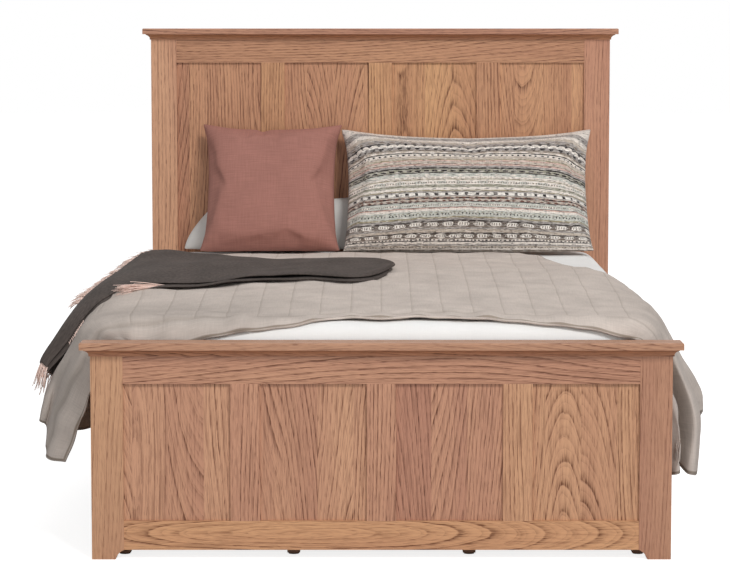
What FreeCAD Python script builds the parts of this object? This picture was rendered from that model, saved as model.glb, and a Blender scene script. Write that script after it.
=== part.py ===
import FreeCAD, Part
import math
import os

# Panel bed: a headboard and a footboard of frame-and-panel joinery, two side rails on hook plates,
# a slatted base on joists, bearers and legs, and the bedding that lies on it. Millimetres.
# The origin is on the floor under the middle of the bed. +Y runs from the foot to the head, +Z is up.

Vector = FreeCAD.Vector

# ---- driving dimensions: the mattress that the bed is made for ----
MATTRESS_WIDTH = 1524.0
MATTRESS_LENGTH = 2032.0
MATTRESS_THICKNESS = 314.0
MATTRESS_EDGE_RADIUS = 60.0
MATTRESS_CORNER_RADIUS = 75.0
MATTRESS_SIDE_ROOM = 13.0      # each side, to the side rails
MATTRESS_END_ROOM = 15.0       # each end, to the boards

# ---- driving dimensions: boards ----
POST_WIDTH = 90.0
POST_DEPTH = 58.0
RAIL_THICKNESS = 30.0          # top rails, bottom rails and stiles
RAIL_SETBACK = 1.5             # rails and stiles lie this far behind the face of the posts
STILE_WIDTH = 82.0
PANEL_COUNT = 4
PANEL_THICKNESS = 12.0
PANEL_RECESS = 9.0             # panel face behind the face of the rails
GROOVE_DEPTH = 10.0
PANEL_EDGE_ROOM = 1.5          # room for the panel's edge at the bottom of its groove
RAIL_TENON = 42.0
STILE_TENON = 26.0
TENON_SHOULDER = 14.0          # a tenon is this much lower than its rail, at each edge
JOINT_CLEARANCE = 0.2          # each side of a tenon or a panel edge

CAP_THICKNESS = 20.0
CAP_OVERHANG = 28.0            # past the posts, at the front and at both ends
CAP_EDGE_RADIUS = 4.0
COVE_HEIGHT = 19.0
COVE_PROJECTION = 17.0
COVE_BAND_HEIGHT = 6.5         # plain band under the hollow
COVE_BAND_PROJECTION = 4.0
COVE_LIP = 2.5                 # plain lip over the hollow

HEAD_HEIGHT = 1481.0
HEAD_TOP_RAIL_BOTTOM = 1361.0
HEAD_BOTTOM_RAIL_BOTTOM = 300.0
HEAD_BOTTOM_RAIL_TOP = 390.0
FOOT_HEIGHT = 612.0
FOOT_TOP_RAIL_BOTTOM = 495.0
FOOT_BOTTOM_RAIL_BOTTOM = 27.0
FOOT_BOTTOM_RAIL_TOP = 109.0
FOOT_CUT_WIDTH = 24.0          # hollow cut at the inner bottom corner of a footboard post
FOOT_CUT_BULGE = 4.5           # how far that hollow rises over its chord

CAP_DOWEL_DIAMETER = 8.0
CAP_DOWEL_IN_CAP = 12.0
CAP_DOWEL_IN_RAIL = 28.0
CAP_DOWELS_ON_RAIL = 4
CAP_DOWEL_FROM_SIDE = 30.0     # dowel centre in a post, from the post's outer face
DOWEL_CLEARANCE = 0.15

# ---- driving dimensions: side rails and base ----
SIDE_RAIL_THICKNESS = 25.0
SIDE_RAIL_INSET = 10.0         # outer face of the side rail behind the outer face of the post
SIDE_RAIL_BOTTOM = 218.0
SIDE_RAIL_TOP = 398.0
SIDE_RAIL_EDGE_RADIUS = 3.0
CLEAT_WIDTH = 28.0
CLEAT_HEIGHT = 30.0
CLEAT_END_ROOM = 30.0
CLEAT_SCREW_COUNT = 8
CLEAT_SCREW_FROM_END = 150.0
CLEAT_SCREW_IN_RAIL = 15.0
END_PLAY = 0.5                 # between the end of a long member and what it meets

SLAT_TOP = 372.0
SLAT_THICKNESS = 20.0
SLAT_WIDTH = 90.0
SLAT_COUNT = 14
SLAT_SIDE_PLAY = 6.0
TAPE_WIDTH = 24.0
TAPE_THICKNESS = 1.5
TAPE_FROM_END = 110.0
JOIST_OFFSET = 248.0           # joist centre from the middle of the bed
JOIST_WIDTH = 36.0
JOIST_HEIGHT = 45.0
BEARER_COUNT = 4
BEARER_WIDTH = 36.0
BEARER_HEIGHT = 58.0
BEARER_FROM_FACE = 94.0        # first bearer's centre behind the footboard's front face
BEARER_FROM_HEAD = 60.0        # last bearer's centre in front of the headboard
LEG_WIDTH = 36.0
LEG_OUTER_OFFSET = 726.0
GLIDE_HEIGHT = 5.0
GLIDE_INSET = 3.0

HOOK_PLATE_WIDTH = 19.0
HOOK_PLATE_HEIGHT = 140.0
HOOK_PLATE_THICKNESS = 3.0
HOOK_THICKNESS = 3.0
HOOK_REACH = 9.0               # from the plate's face to the end of the hook
HOOK_HEIGHT = 30.0
HOOK_NOSE = 8.0                # how far the hook's nose drops behind the slotted plate
HOOK_SPACING = 56.0            # between the two hooks of a plate
HOOK_CLEARANCE = 0.4
SCREW_DIAMETER = 4.0
SCREW_LENGTH = 32.0
SCREW_HEAD_DIAMETER = 8.0
SCREW_HEAD_HEIGHT = 2.2
SCREW_SPACING = 118.0
SCREW_CLEARANCE = 0.1

# ---- driving dimensions: bedding ----
SHEET_THICKNESS = 1.6
SHEET_SKIRT = 262.0            # how far the fitted sheet comes down from the top
CLOTH_CLEARANCE = 0.4

QUILT_THICKNESS = 13.0
QUILT_FROM_FOOT = 62.0         # foot hem from the foot end of the mattress
QUILT_LENGTH = 1680.0
QUILT_HEM_HEIGHT = 236.0
QUILT_SHOULDER_FOOT = 14.0     # degrees over the level where the rounded shoulder ends
QUILT_FOLDS = 6
QUILT_SECTIONS_PER_FOLD = 4
QUILT_LEFT_FLARE = 152.0       # hem's mean distance from the side of the mattress
QUILT_RIGHT_FLARE = 130.0
QUILT_FOLD_DEPTH = 42.0
QUILT_HEM_RISE = 16.0          # how much the hem lifts on the outward folds

THROW_THICKNESS = 20.0
THROW_WIDTH = 470.0
THROW_END_WIDTH = 300.0        # its folded end on the bed, rounded off
THROW_HEM_WIDTH = 230.0        # gathered at its hanging end
THROW_FROM_FACE = 1345.0       # its middle line behind the footboard's front face
THROW_SHOULDER_STEPS = 7
THROW_HEM_HEIGHT = 448.0
THROW_END_X = 45.0
THROW_LIFT = 0.5               # over the quilt's clearance, so that the flats of the bend stay clear
FRINGE_LENGTH = 62.0
FRINGE_THICKNESS = 3.0

CUSHION_SIZE = 494.0
CUSHION_THICKNESS = 120.0
CUSHION_DRAW_IN = 17.0         # how far the middle of each side lies inside its corners
CUSHION_LEAN = 28.0
CUSHION_X = -381.0
LONG_PILLOW_WIDTH = 884.0
LONG_PILLOW_HEIGHT = 476.0
LONG_PILLOW_THICKNESS = 165.0
LONG_PILLOW_DRAW_IN = 22.0
LONG_PILLOW_LEAN = 29.0
LONG_PILLOW_X = 308.0
PLAIN_PILLOW_WIDTH = 590.0
PLAIN_PILLOW_HEIGHT = 290.0
PLAIN_PILLOW_THICKNESS = 96.0
PLAIN_PILLOW_DRAW_IN = 9.0
PLAIN_PILLOW_LEAN = 10.0
PLAIN_PILLOW_X = -390.0
PILLOW_SAG = 30.0              # how far the filling settles below the middle of the cover
PILLOW_LAYERS = [(0.40, 1.0), (0.66, 0.87), (0.86, 0.56), (1.0, 0.0)]  # share of size, of half thickness
PUSH_STEPS = 12

# ---- sizes that follow from them ----
BODY_WIDTH = MATTRESS_WIDTH + 2 * (MATTRESS_SIDE_ROOM + SIDE_RAIL_THICKNESS + SIDE_RAIL_INSET)
FACE_TO_FACE = MATTRESS_LENGTH + 2 * MATTRESS_END_ROOM + POST_DEPTH
TOTAL_DEPTH = CAP_OVERHANG + FACE_TO_FACE + POST_DEPTH
FOOT_FACE_Y = -TOTAL_DEPTH / 2 + CAP_OVERHANG
FOOT_BACK_Y = FOOT_FACE_Y + POST_DEPTH
HEAD_FACE_Y = FOOT_FACE_Y + FACE_TO_FACE
HALF_WIDTH = BODY_WIDTH / 2
PANEL_OPENING = (BODY_WIDTH - 2 * POST_WIDTH - (PANEL_COUNT - 1) * STILE_WIDTH) / PANEL_COUNT
PANEL_PITCH = PANEL_OPENING + STILE_WIDTH
OPENING_LEFT = -HALF_WIDTH + POST_WIDTH
PANEL_REACH = GROOVE_DEPTH - PANEL_EDGE_ROOM
SIDE_RAIL_OUTER_X = HALF_WIDTH - SIDE_RAIL_INSET
SIDE_RAIL_INNER_X = SIDE_RAIL_OUTER_X - SIDE_RAIL_THICKNESS
SLAT_BOTTOM = SLAT_TOP - SLAT_THICKNESS
JOIST_BOTTOM = SLAT_BOTTOM - JOIST_HEIGHT
BEARER_BOTTOM = JOIST_BOTTOM - BEARER_HEIGHT
MATTRESS_FOOT_Y = FOOT_BACK_Y + MATTRESS_END_ROOM
MATTRESS_HEAD_Y = MATTRESS_FOOT_Y + MATTRESS_LENGTH
MATTRESS_TOP = SLAT_TOP + MATTRESS_THICKNESS
SHEET_TOP = MATTRESS_TOP + CLOTH_CLEARANCE + SHEET_THICKNESS
QUILT_UNDERSIDE = SHEET_TOP + CLOTH_CLEARANCE
QUILT_TOP = QUILT_UNDERSIDE + QUILT_THICKNESS
QUILT_SHOULDER_RADIUS = MATTRESS_EDGE_RADIUS + SHEET_THICKNESS + QUILT_THICKNESS
SIDES = {"left": -1, "right": 1}


# ---- small helpers ----
def block(x_low, x_high, y_low, y_high, z_low, z_high):
    corner = Vector(x_low, y_low, z_low)
    return Part.makeBox(x_high - x_low, y_high - y_low, z_high - z_low, corner)


def grown(shape_box, amount):
    """The block round a member's block that leaves the same clearance on every side."""
    x_low, x_high, y_low, y_high, z_low, z_high = shape_box
    return block(x_low - amount, x_high + amount, y_low - amount, y_high + amount,
                 z_low - amount, z_high + amount)


def cut_all(shape, tools):
    """The shape less all the tools, as one solid."""
    if tools:
        shape = shape.cut(tools)
    return shape.Solids[0] if len(shape.Solids) == 1 else shape


def face_from_points(points):
    return Part.Face(Part.makePolygon(points + [points[0]]))


def wood_screw(point, axis, length, play=0.0):
    """A countersunk screw from its head's flat face along axis, or its bore when play is given."""
    head = Part.makeCone(SCREW_HEAD_DIAMETER / 2 + play, SCREW_DIAMETER / 2 + play,
                         SCREW_HEAD_HEIGHT, point, axis)
    shank = Part.makeCylinder(SCREW_DIAMETER / 2 + play, length + play, point, axis)
    return head.fuse(shank).Solids[0]


def save(name, solids):
    """Writes one node: a single solid, or a group of separate ones."""
    shape = solids[0] if len(solids) == 1 else Part.makeCompound(solids)
    shape.exportStep(os.path.join("parts", name + ".step"))


# ---- headboard and footboard ----
class Board:
    """The heights of one board. Both boards face the foot of the bed and share every section."""

    def __init__(self, name, face_y, height, top_rail_bottom, bottom_rail_top, bottom_rail_bottom,
                 shaped_feet):
        self.name = name
        self.face_y = face_y
        self.height = height
        self.cap_bottom = height - CAP_THICKNESS
        self.top_rail_bottom = top_rail_bottom
        self.bottom_rail_top = bottom_rail_top
        self.bottom_rail_bottom = bottom_rail_bottom
        self.shaped_feet = shaped_feet
        self.back_y = face_y + POST_DEPTH
        self.rail_face_y = face_y + RAIL_SETBACK
        self.rail_back_y = self.rail_face_y + RAIL_THICKNESS
        self.panel_face_y = self.rail_face_y + PANEL_RECESS
        self.panel_back_y = self.panel_face_y + PANEL_THICKNESS

    def rails(self):
        """Lower and upper edge of the two rails."""
        return {"top_rail": (self.top_rail_bottom, self.cap_bottom),
                "bottom_rail": (self.bottom_rail_bottom, self.bottom_rail_top)}

    def rail_tenon(self, side, edges):
        """The block of one rail tenon, from the post's inner edge into the post."""
        inner = HALF_WIDTH - POST_WIDTH
        x_low, x_high = sorted((side * inner, side * (inner + RAIL_TENON)))
        return (x_low, x_high, self.panel_face_y, self.panel_back_y,
                edges[0] + TENON_SHOULDER, edges[1] - TENON_SHOULDER)

    def stile_centres(self):
        first = OPENING_LEFT + PANEL_OPENING + STILE_WIDTH / 2
        return [first + PANEL_PITCH * number for number in range(PANEL_COUNT - 1)]

    def stile_tenons(self, centre):
        """The blocks of a stile's two tenons, in the bottom rail and in the top rail."""
        half = STILE_WIDTH / 2 - TENON_SHOULDER
        low = (self.bottom_rail_top - STILE_TENON, self.bottom_rail_top)
        high = (self.top_rail_bottom, self.top_rail_bottom + STILE_TENON)
        return [(centre - half, centre + half, self.panel_face_y, self.panel_back_y) + ends
                for ends in (low, high)]

    def panel_groove(self):
        """The groove that runs round every panel, as one block from post to post."""
        return block(-HALF_WIDTH + POST_WIDTH - GROOVE_DEPTH, HALF_WIDTH - POST_WIDTH + GROOVE_DEPTH,
                     self.panel_face_y - JOINT_CLEARANCE, self.panel_back_y + JOINT_CLEARANCE,
                     self.bottom_rail_top - GROOVE_DEPTH, self.top_rail_bottom + GROOVE_DEPTH)

    def dowel_places(self):
        """Where the cap's dowels stand: one on each post, the rest along the top rail."""
        middle_y = self.rail_face_y + RAIL_THICKNESS / 2
        post_x = HALF_WIDTH - CAP_DOWEL_FROM_SIDE
        span = BODY_WIDTH - 2 * POST_WIDTH
        step = span / CAP_DOWELS_ON_RAIL
        along = [-span / 2 + step * (number + 0.5) for number in range(CAP_DOWELS_ON_RAIL)]
        return [(x, middle_y) for x in [-post_x] + along + [post_x]]

    def dowel_bores(self):
        radius = CAP_DOWEL_DIAMETER / 2 + DOWEL_CLEARANCE
        depth = CAP_DOWEL_IN_CAP + CAP_DOWEL_IN_RAIL + 2 * END_PLAY
        bottom = self.cap_bottom - CAP_DOWEL_IN_RAIL - END_PLAY
        return [Part.makeCylinder(radius, depth, Vector(x, y, bottom)) for x, y in self.dowel_places()]


def foot_cut(board, side):
    """The hollow at the inner bottom corner of a post, its arc rising over the straight chord."""
    inner = side * (HALF_WIDTH - POST_WIDTH)
    foot = Vector(inner + side * FOOT_CUT_WIDTH, board.face_y - 1, 0)
    brow = Vector(inner, board.face_y - 1, board.bottom_rail_bottom)
    across = brow - foot
    square = Vector(-across.z, 0, across.x)
    square.normalize()
    if square.z < 0:
        square = square * -1
    middle = (foot + brow) * 0.5 + square * FOOT_CUT_BULGE
    corner = Vector(inner - side, board.face_y - 1, -1)
    under_foot = Vector(foot.x, foot.y, -1)
    beside_brow = Vector(corner.x, foot.y, brow.z)
    edges = [Part.Arc(foot, middle, brow).toShape(),
             Part.makeLine(brow, beside_brow),
             Part.makeLine(beside_brow, corner),
             Part.makeLine(corner, under_foot),
             Part.makeLine(under_foot, foot)]
    return Part.Face(Part.Wire(edges)).extrude(Vector(0, POST_DEPTH + 2, 0))


def post(board, side):
    inner = HALF_WIDTH - POST_WIDTH
    x_low, x_high = sorted((side * inner, side * HALF_WIDTH))
    body = block(x_low, x_high, board.face_y, board.back_y, 0, board.cap_bottom)
    tools = [grown(board.rail_tenon(side, edges), JOINT_CLEARANCE) for edges in board.rails().values()]
    tools.append(board.panel_groove())
    tools += board.dowel_bores()
    hooks = [hook for hook in HOOK_SETS if hook.board is board and hook.side == side]
    tools += [hook.post_pocket() for hook in hooks]
    tools += [bore for hook in hooks for bore in hook.post_screw_bores()]
    if board.shaped_feet:
        tools.append(foot_cut(board, side))
    return cut_all(body, tools)


def board_rail(board, edges):
    """A top or bottom rail with a tenon at each end, the mortises of the stiles and its groove."""
    inner = HALF_WIDTH - POST_WIDTH
    body = block(-inner, inner, board.rail_face_y, board.rail_back_y, edges[0], edges[1])
    body = body.fuse([block(*board.rail_tenon(side, edges)) for side in SIDES.values()])
    tools = [grown(tenon, JOINT_CLEARANCE) for centre in board.stile_centres()
             for tenon in board.stile_tenons(centre)]
    tools.append(board.panel_groove())
    tools += board.dowel_bores()
    return cut_all(body.removeSplitter(), tools)


def stile(board, centre):
    half = STILE_WIDTH / 2
    body = block(centre - half, centre + half, board.rail_face_y, board.rail_back_y,
                 board.bottom_rail_top, board.top_rail_bottom)
    for side in SIDES.values():
        edge = centre + side * half
        x_low, x_high = sorted((edge, edge - side * GROOVE_DEPTH))
        body = body.cut(block(x_low, x_high, board.panel_face_y - JOINT_CLEARANCE,
                              board.panel_back_y + JOINT_CLEARANCE,
                              board.bottom_rail_top, board.top_rail_bottom))
    tenons = [block(*tenon) for tenon in board.stile_tenons(centre)]
    return body.fuse(tenons).removeSplitter().Solids[0]


def panel(board, number):
    left = OPENING_LEFT + PANEL_PITCH * number
    return block(left - PANEL_REACH, left + PANEL_OPENING + PANEL_REACH,
                 board.panel_face_y, board.panel_back_y,
                 board.bottom_rail_top - PANEL_REACH, board.top_rail_bottom + PANEL_REACH)


def cap(board):
    body = block(-HALF_WIDTH - CAP_OVERHANG, HALF_WIDTH + CAP_OVERHANG,
                 board.face_y - CAP_OVERHANG, board.back_y, board.cap_bottom, board.height)
    long_edges = [edge for edge in body.Edges
                  if abs(edge.BoundBox.ZLength) < 1e-6
                  and (edge.BoundBox.YMax < board.back_y - 1 or edge.BoundBox.YLength > 1)
                  and edge.BoundBox.ZMin > board.cap_bottom + 1]
    body = body.makeFillet(CAP_EDGE_RADIUS, long_edges)
    return cut_all(body, board.dowel_bores())


def cove_profile(board):
    """Moulding section in (distance out, height): lip, hollow arc, then the plain band."""
    top = board.cap_bottom
    hollow_top = top - COVE_LIP
    hollow_bottom = top - COVE_HEIGHT + COVE_BAND_HEIGHT
    bottom = top - COVE_HEIGHT
    sag = 0.62                 # share of the way from the lip to the band's corner at mid arc
    middle = (COVE_PROJECTION + (COVE_BAND_PROJECTION - COVE_PROJECTION) * sag,
              hollow_top + (hollow_bottom - hollow_top) * (1 - sag))
    return {"top": top, "bottom": bottom, "lip": (COVE_PROJECTION, hollow_top), "middle": middle,
            "band": (COVE_BAND_PROJECTION, hollow_bottom)}


def cove_section(board, place):
    """The profile as a face, where place(out, height) gives the point in space."""
    profile = cove_profile(board)
    inner_top = place(0, profile["top"])
    outer_top = place(COVE_PROJECTION, profile["top"])
    lip = place(*profile["lip"])
    middle = place(*profile["middle"])
    band = place(*profile["band"])
    band_foot = place(COVE_BAND_PROJECTION, profile["bottom"])
    inner_bottom = place(0, profile["bottom"])
    edges = [Part.makeLine(inner_top, outer_top),
             Part.makeLine(outer_top, lip),
             Part.Arc(lip, middle, band).toShape(),
             Part.makeLine(band, band_foot),
             Part.makeLine(band_foot, inner_bottom),
             Part.makeLine(inner_bottom, inner_top)]
    return Part.Face(Part.Wire(edges))


def mitre_wedge(board, side):
    """The space on the return's side of the mitre, from the corner outwards at 45 degrees."""
    corner = Vector(side * HALF_WIDTH, board.face_y, board.cap_bottom - 2 * COVE_HEIGHT)
    reach = 2 * COVE_PROJECTION
    out_front = corner + Vector(side * reach, -reach, 0)
    out_back = corner + Vector(side * reach, POST_DEPTH, 0)
    at_back = corner + Vector(0, POST_DEPTH, 0)
    return face_from_points([corner, out_front, out_back, at_back]).extrude(Vector(0, 0, 4 * COVE_HEIGHT))


def cove_front(board):
    start = -HALF_WIDTH - COVE_PROJECTION
    section = cove_section(board, lambda out, height: Vector(start, board.face_y - out, height))
    body = section.extrude(Vector(-2 * start, 0, 0))
    return cut_all(body, [mitre_wedge(board, side) for side in SIDES.values()])


def cove_return(board, side):
    start = board.face_y - COVE_PROJECTION
    section = cove_section(board, lambda out, height: Vector(side * (HALF_WIDTH + out), start, height))
    body = section.extrude(Vector(0, POST_DEPTH + COVE_PROJECTION, 0))
    return body.common(mitre_wedge(board, side)).Solids[0]


def cap_dowels(board):
    length = CAP_DOWEL_IN_CAP + CAP_DOWEL_IN_RAIL
    bottom = board.cap_bottom - CAP_DOWEL_IN_RAIL
    return [Part.makeCylinder(CAP_DOWEL_DIAMETER / 2, length, Vector(x, y, bottom))
            for x, y in board.dowel_places()]


# ---- hook plates that join the side rails to the posts ----
class HookSet:
    """The plates, hooks and screws where one end of a side rail meets a post."""

    def __init__(self, board, side):
        self.board = board
        self.side = side
        self.post_face_y = FOOT_BACK_Y if board.shaped_feet else HEAD_FACE_Y
        self.into_post = -1 if board.shaped_feet else 1
        self.centre_x = side * (SIDE_RAIL_OUTER_X + SIDE_RAIL_INNER_X) / 2
        self.centre_z = (SIDE_RAIL_BOTTOM + SIDE_RAIL_TOP) / 2

    def span_y(self, start, end):
        """Two distances into the post, as a low and a high y."""
        places = (self.post_face_y + self.into_post * start, self.post_face_y + self.into_post * end)
        return min(places), max(places)

    def plate(self, start, end, play=0.0):
        half_width = HOOK_PLATE_WIDTH / 2 + play
        half_height = HOOK_PLATE_HEIGHT / 2 + play
        y_low, y_high = self.span_y(start, end)
        return block(self.centre_x - half_width, self.centre_x + half_width, y_low, y_high,
                     self.centre_z - half_height, self.centre_z + half_height)

    def hook_bottoms(self):
        return [self.centre_z + place * HOOK_SPACING - HOOK_HEIGHT / 2 for place in (-0.5, 0.5)]

    def hook(self, bottom):
        """An upside-down L: the arm passes the slot, and the nose drops behind the slotted plate."""
        half = HOOK_THICKNESS / 2
        y_low, y_high = self.span_y(-END_PLAY, HOOK_REACH)
        arm = block(self.centre_x - half, self.centre_x + half, y_low, y_high,
                    bottom + HOOK_NOSE, bottom + HOOK_HEIGHT)
        y_low, y_high = self.span_y(HOOK_PLATE_THICKNESS + HOOK_CLEARANCE, HOOK_REACH)
        nose = block(self.centre_x - half, self.centre_x + half, y_low, y_high,
                     bottom, bottom + HOOK_NOSE)
        return arm.fuse(nose)

    def slot(self, bottom):
        half = HOOK_THICKNESS / 2 + HOOK_CLEARANCE
        y_low, y_high = self.span_y(-END_PLAY, HOOK_PLATE_THICKNESS + 1)
        return block(self.centre_x - half, self.centre_x + half, y_low, y_high,
                     bottom + HOOK_NOSE - HOOK_CLEARANCE, bottom + HOOK_HEIGHT + HOOK_NOSE)

    def post_pocket(self):
        """Recess in the post for the slotted plate, and a pocket behind it for the hooks."""
        recess = self.plate(0, HOOK_PLATE_THICKNESS, JOINT_CLEARANCE)
        half = HOOK_THICKNESS / 2 + 1
        y_low, y_high = self.span_y(0, HOOK_REACH + 1)
        bottoms = self.hook_bottoms()
        pocket = block(self.centre_x - half, self.centre_x + half, y_low, y_high,
                       bottoms[0] - 1, bottoms[-1] + HOOK_HEIGHT + HOOK_NOSE)
        return recess.fuse(pocket)

    def screw_heights(self):
        return [self.centre_z + place * SCREW_SPACING for place in (-0.5, 0.5)]

    def screw(self, start, direction, play=0.0):
        """Two countersunk screws from the plate's face along direction, 1 into the post or -1."""
        axis = Vector(0, direction * self.into_post, 0)
        start_y = self.post_face_y + self.into_post * start
        return [wood_screw(Vector(self.centre_x, start_y, height), axis, SCREW_LENGTH, play)
                for height in self.screw_heights()]

    def post_screw_bores(self):
        return self.screw(0, 1, SCREW_CLEARANCE)

    def rail_screw_bores(self):
        return self.screw(-END_PLAY, -1, SCREW_CLEARANCE)

    def post_plate(self):
        tools = [self.slot(bottom) for bottom in self.hook_bottoms()] + self.post_screw_bores()
        return cut_all(self.plate(0, HOOK_PLATE_THICKNESS), tools)

    def rail_plate(self):
        """The plate let into the end of the rail, with its two hooks."""
        plate = self.plate(-END_PLAY - HOOK_PLATE_THICKNESS, -END_PLAY)
        hooks = [self.hook(bottom) for bottom in self.hook_bottoms()]
        return cut_all(plate.fuse(hooks).removeSplitter(), self.rail_screw_bores())

    def rail_recess(self):
        return self.plate(-END_PLAY - HOOK_PLATE_THICKNESS, 0, JOINT_CLEARANCE)


# ---- side rails and base ----
def side_rail(side):
    x_low, x_high = sorted((side * SIDE_RAIL_INNER_X, side * SIDE_RAIL_OUTER_X))
    body = block(x_low, x_high, FOOT_BACK_Y + END_PLAY, HEAD_FACE_Y - END_PLAY,
                 SIDE_RAIL_BOTTOM, SIDE_RAIL_TOP)
    outer_x = side * SIDE_RAIL_OUTER_X
    edges = [edge for edge in body.Edges
             if edge.BoundBox.YLength > 1 and abs(edge.BoundBox.XMin - outer_x) < 1e-3]
    body = body.makeFillet(SIDE_RAIL_EDGE_RADIUS, edges)
    hooks = [hook for hook in HOOK_SETS if hook.side == side]
    tools = [hook.rail_recess() for hook in hooks]
    tools += [bore for hook in hooks for bore in hook.rail_screw_bores()]
    tools += cleat_screws(side, SCREW_CLEARANCE)
    return cut_all(body, tools)


def cleat(side):
    """The strip along the inside of a side rail that carries the ends of the slats."""
    x_low, x_high = sorted((side * SIDE_RAIL_INNER_X, side * (SIDE_RAIL_INNER_X - CLEAT_WIDTH)))
    body = block(x_low, x_high, FOOT_BACK_Y + CLEAT_END_ROOM, HEAD_FACE_Y - CLEAT_END_ROOM,
                 SLAT_BOTTOM - CLEAT_HEIGHT, SLAT_BOTTOM)
    return cut_all(body, cleat_screws(side, SCREW_CLEARANCE))


def cleat_screws(side, play=0.0):
    """Countersunk screws in a row through a cleat into its side rail."""
    start_x = side * (SIDE_RAIL_INNER_X - CLEAT_WIDTH)
    length = CLEAT_WIDTH + CLEAT_SCREW_IN_RAIL
    first = FOOT_BACK_Y + CLEAT_SCREW_FROM_END
    last = HEAD_FACE_Y - CLEAT_SCREW_FROM_END
    step = (last - first) / (CLEAT_SCREW_COUNT - 1)
    height = SLAT_BOTTOM - CLEAT_HEIGHT / 2
    return [wood_screw(Vector(start_x, first + step * number, height), Vector(side, 0, 0), length, play)
            for number in range(CLEAT_SCREW_COUNT)]


def joist(side):
    centre = side * JOIST_OFFSET
    return block(centre - JOIST_WIDTH / 2, centre + JOIST_WIDTH / 2,
                 FOOT_BACK_Y + END_PLAY, HEAD_FACE_Y - END_PLAY, JOIST_BOTTOM, SLAT_BOTTOM)


def bearer_places():
    first = FOOT_FACE_Y + BEARER_FROM_FACE
    last = HEAD_FACE_Y - BEARER_FROM_HEAD
    step = (last - first) / (BEARER_COUNT - 1)
    return [first + step * number for number in range(BEARER_COUNT)]


def bearer(centre_y):
    reach = SIDE_RAIL_INNER_X - END_PLAY
    return block(-reach, reach, centre_y - BEARER_WIDTH / 2, centre_y + BEARER_WIDTH / 2,
                 BEARER_BOTTOM, JOIST_BOTTOM)


def leg_offsets():
    return [-LEG_OUTER_OFFSET, -JOIST_OFFSET, JOIST_OFFSET, LEG_OUTER_OFFSET]


def bearer_legs(centre_y):
    half = LEG_WIDTH / 2
    return [block(x - half, x + half, centre_y - half, centre_y + half, GLIDE_HEIGHT, BEARER_BOTTOM)
            for x in leg_offsets()]


def leg_glides():
    radius = LEG_WIDTH / 2 - GLIDE_INSET
    return [Part.makeCylinder(radius, GLIDE_HEIGHT, Vector(x, y, 0))
            for y in bearer_places() for x in leg_offsets()]


def slat_places():
    first = FOOT_BACK_Y + SLAT_WIDTH
    last = HEAD_FACE_Y - SLAT_WIDTH
    step = (last - first) / (SLAT_COUNT - 1)
    return [first + step * number for number in range(SLAT_COUNT)]


def slats():
    reach = SIDE_RAIL_INNER_X - SLAT_SIDE_PLAY
    return [block(-reach, reach, y - SLAT_WIDTH / 2, y + SLAT_WIDTH / 2, SLAT_BOTTOM, SLAT_TOP - TAPE_THICKNESS)
            for y in slat_places()]


def slat_tapes():
    """The two woven tapes that hold the slats at their spacing, laid over the slats."""
    reach = SIDE_RAIL_INNER_X - TAPE_FROM_END
    places = slat_places()
    return [block(side * reach - TAPE_WIDTH / 2, side * reach + TAPE_WIDTH / 2,
                  places[0] - SLAT_WIDTH / 2, places[-1] + SLAT_WIDTH / 2,
                  SLAT_TOP - TAPE_THICKNESS, SLAT_TOP)
            for side in SIDES.values()]


# ---- mattress and fitted sheet ----
def rounded_slab(grow, bottom, top):
    """The mattress outline with rounded corners and a rounded top edge, grown by a thickness."""
    half = MATTRESS_WIDTH / 2 + grow
    body = block(-half, half, MATTRESS_FOOT_Y - grow, MATTRESS_HEAD_Y + grow, bottom, top)
    uprights = [edge for edge in body.Edges if edge.BoundBox.ZLength > 1]
    body = body.makeFillet(MATTRESS_CORNER_RADIUS + grow, uprights)
    upper = [edge for edge in body.Edges if edge.BoundBox.ZMin > top - 1e-3]
    return body.makeFillet(MATTRESS_EDGE_RADIUS + grow, upper)


def mattress():
    return rounded_slab(0, SLAT_TOP, MATTRESS_TOP)


def fitted_sheet():
    """The sheet drawn over the top and sides of the mattress, open underneath."""
    bottom = MATTRESS_TOP - SHEET_SKIRT
    outer = rounded_slab(CLOTH_CLEARANCE + SHEET_THICKNESS, bottom, SHEET_TOP)
    inner = rounded_slab(CLOTH_CLEARANCE, bottom - 1, MATTRESS_TOP + CLOTH_CLEARANCE)
    return cut_all(outer, [inner])


# ---- quilt: flat over the bed, with a hanging side whose hem swings in and out in folds ----
def quilt_hem(side, share):
    """Outer hem point (distance from the middle, height) at a share of the quilt's length."""
    flare = QUILT_LEFT_FLARE if side < 0 else QUILT_RIGHT_FLARE
    phase = 2 * math.pi * QUILT_FOLDS * share + (0.9 if side < 0 else 0.0)
    swing = math.sin(phase)
    out = MATTRESS_WIDTH / 2 + flare + QUILT_FOLD_DEPTH * swing
    return out, QUILT_HEM_HEIGHT + QUILT_HEM_RISE * (1 + swing) / 2


def quilt_side(side, share, inset):
    """Hem, foot of the shoulder, mid arc and top of the shoulder, at a depth inside the cloth."""
    hem_out, hem_height = quilt_hem(side, share)
    radius = QUILT_SHOULDER_RADIUS - inset
    centre_out = MATTRESS_WIDTH / 2 + CLOTH_CLEARANCE * 2 + SHEET_THICKNESS + QUILT_THICKNESS \
        - QUILT_SHOULDER_RADIUS
    centre_height = QUILT_TOP - QUILT_SHOULDER_RADIUS
    foot_angle = math.radians(QUILT_SHOULDER_FOOT)
    foot = (centre_out + radius * math.cos(foot_angle), centre_height + radius * math.sin(foot_angle))
    half_way = (foot_angle + math.pi / 2) / 2
    middle = (centre_out + radius * math.cos(half_way), centre_height + radius * math.sin(half_way))
    top = (centre_out, centre_height + radius)
    return [(hem_out - inset, hem_height), foot, middle, top]


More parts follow.
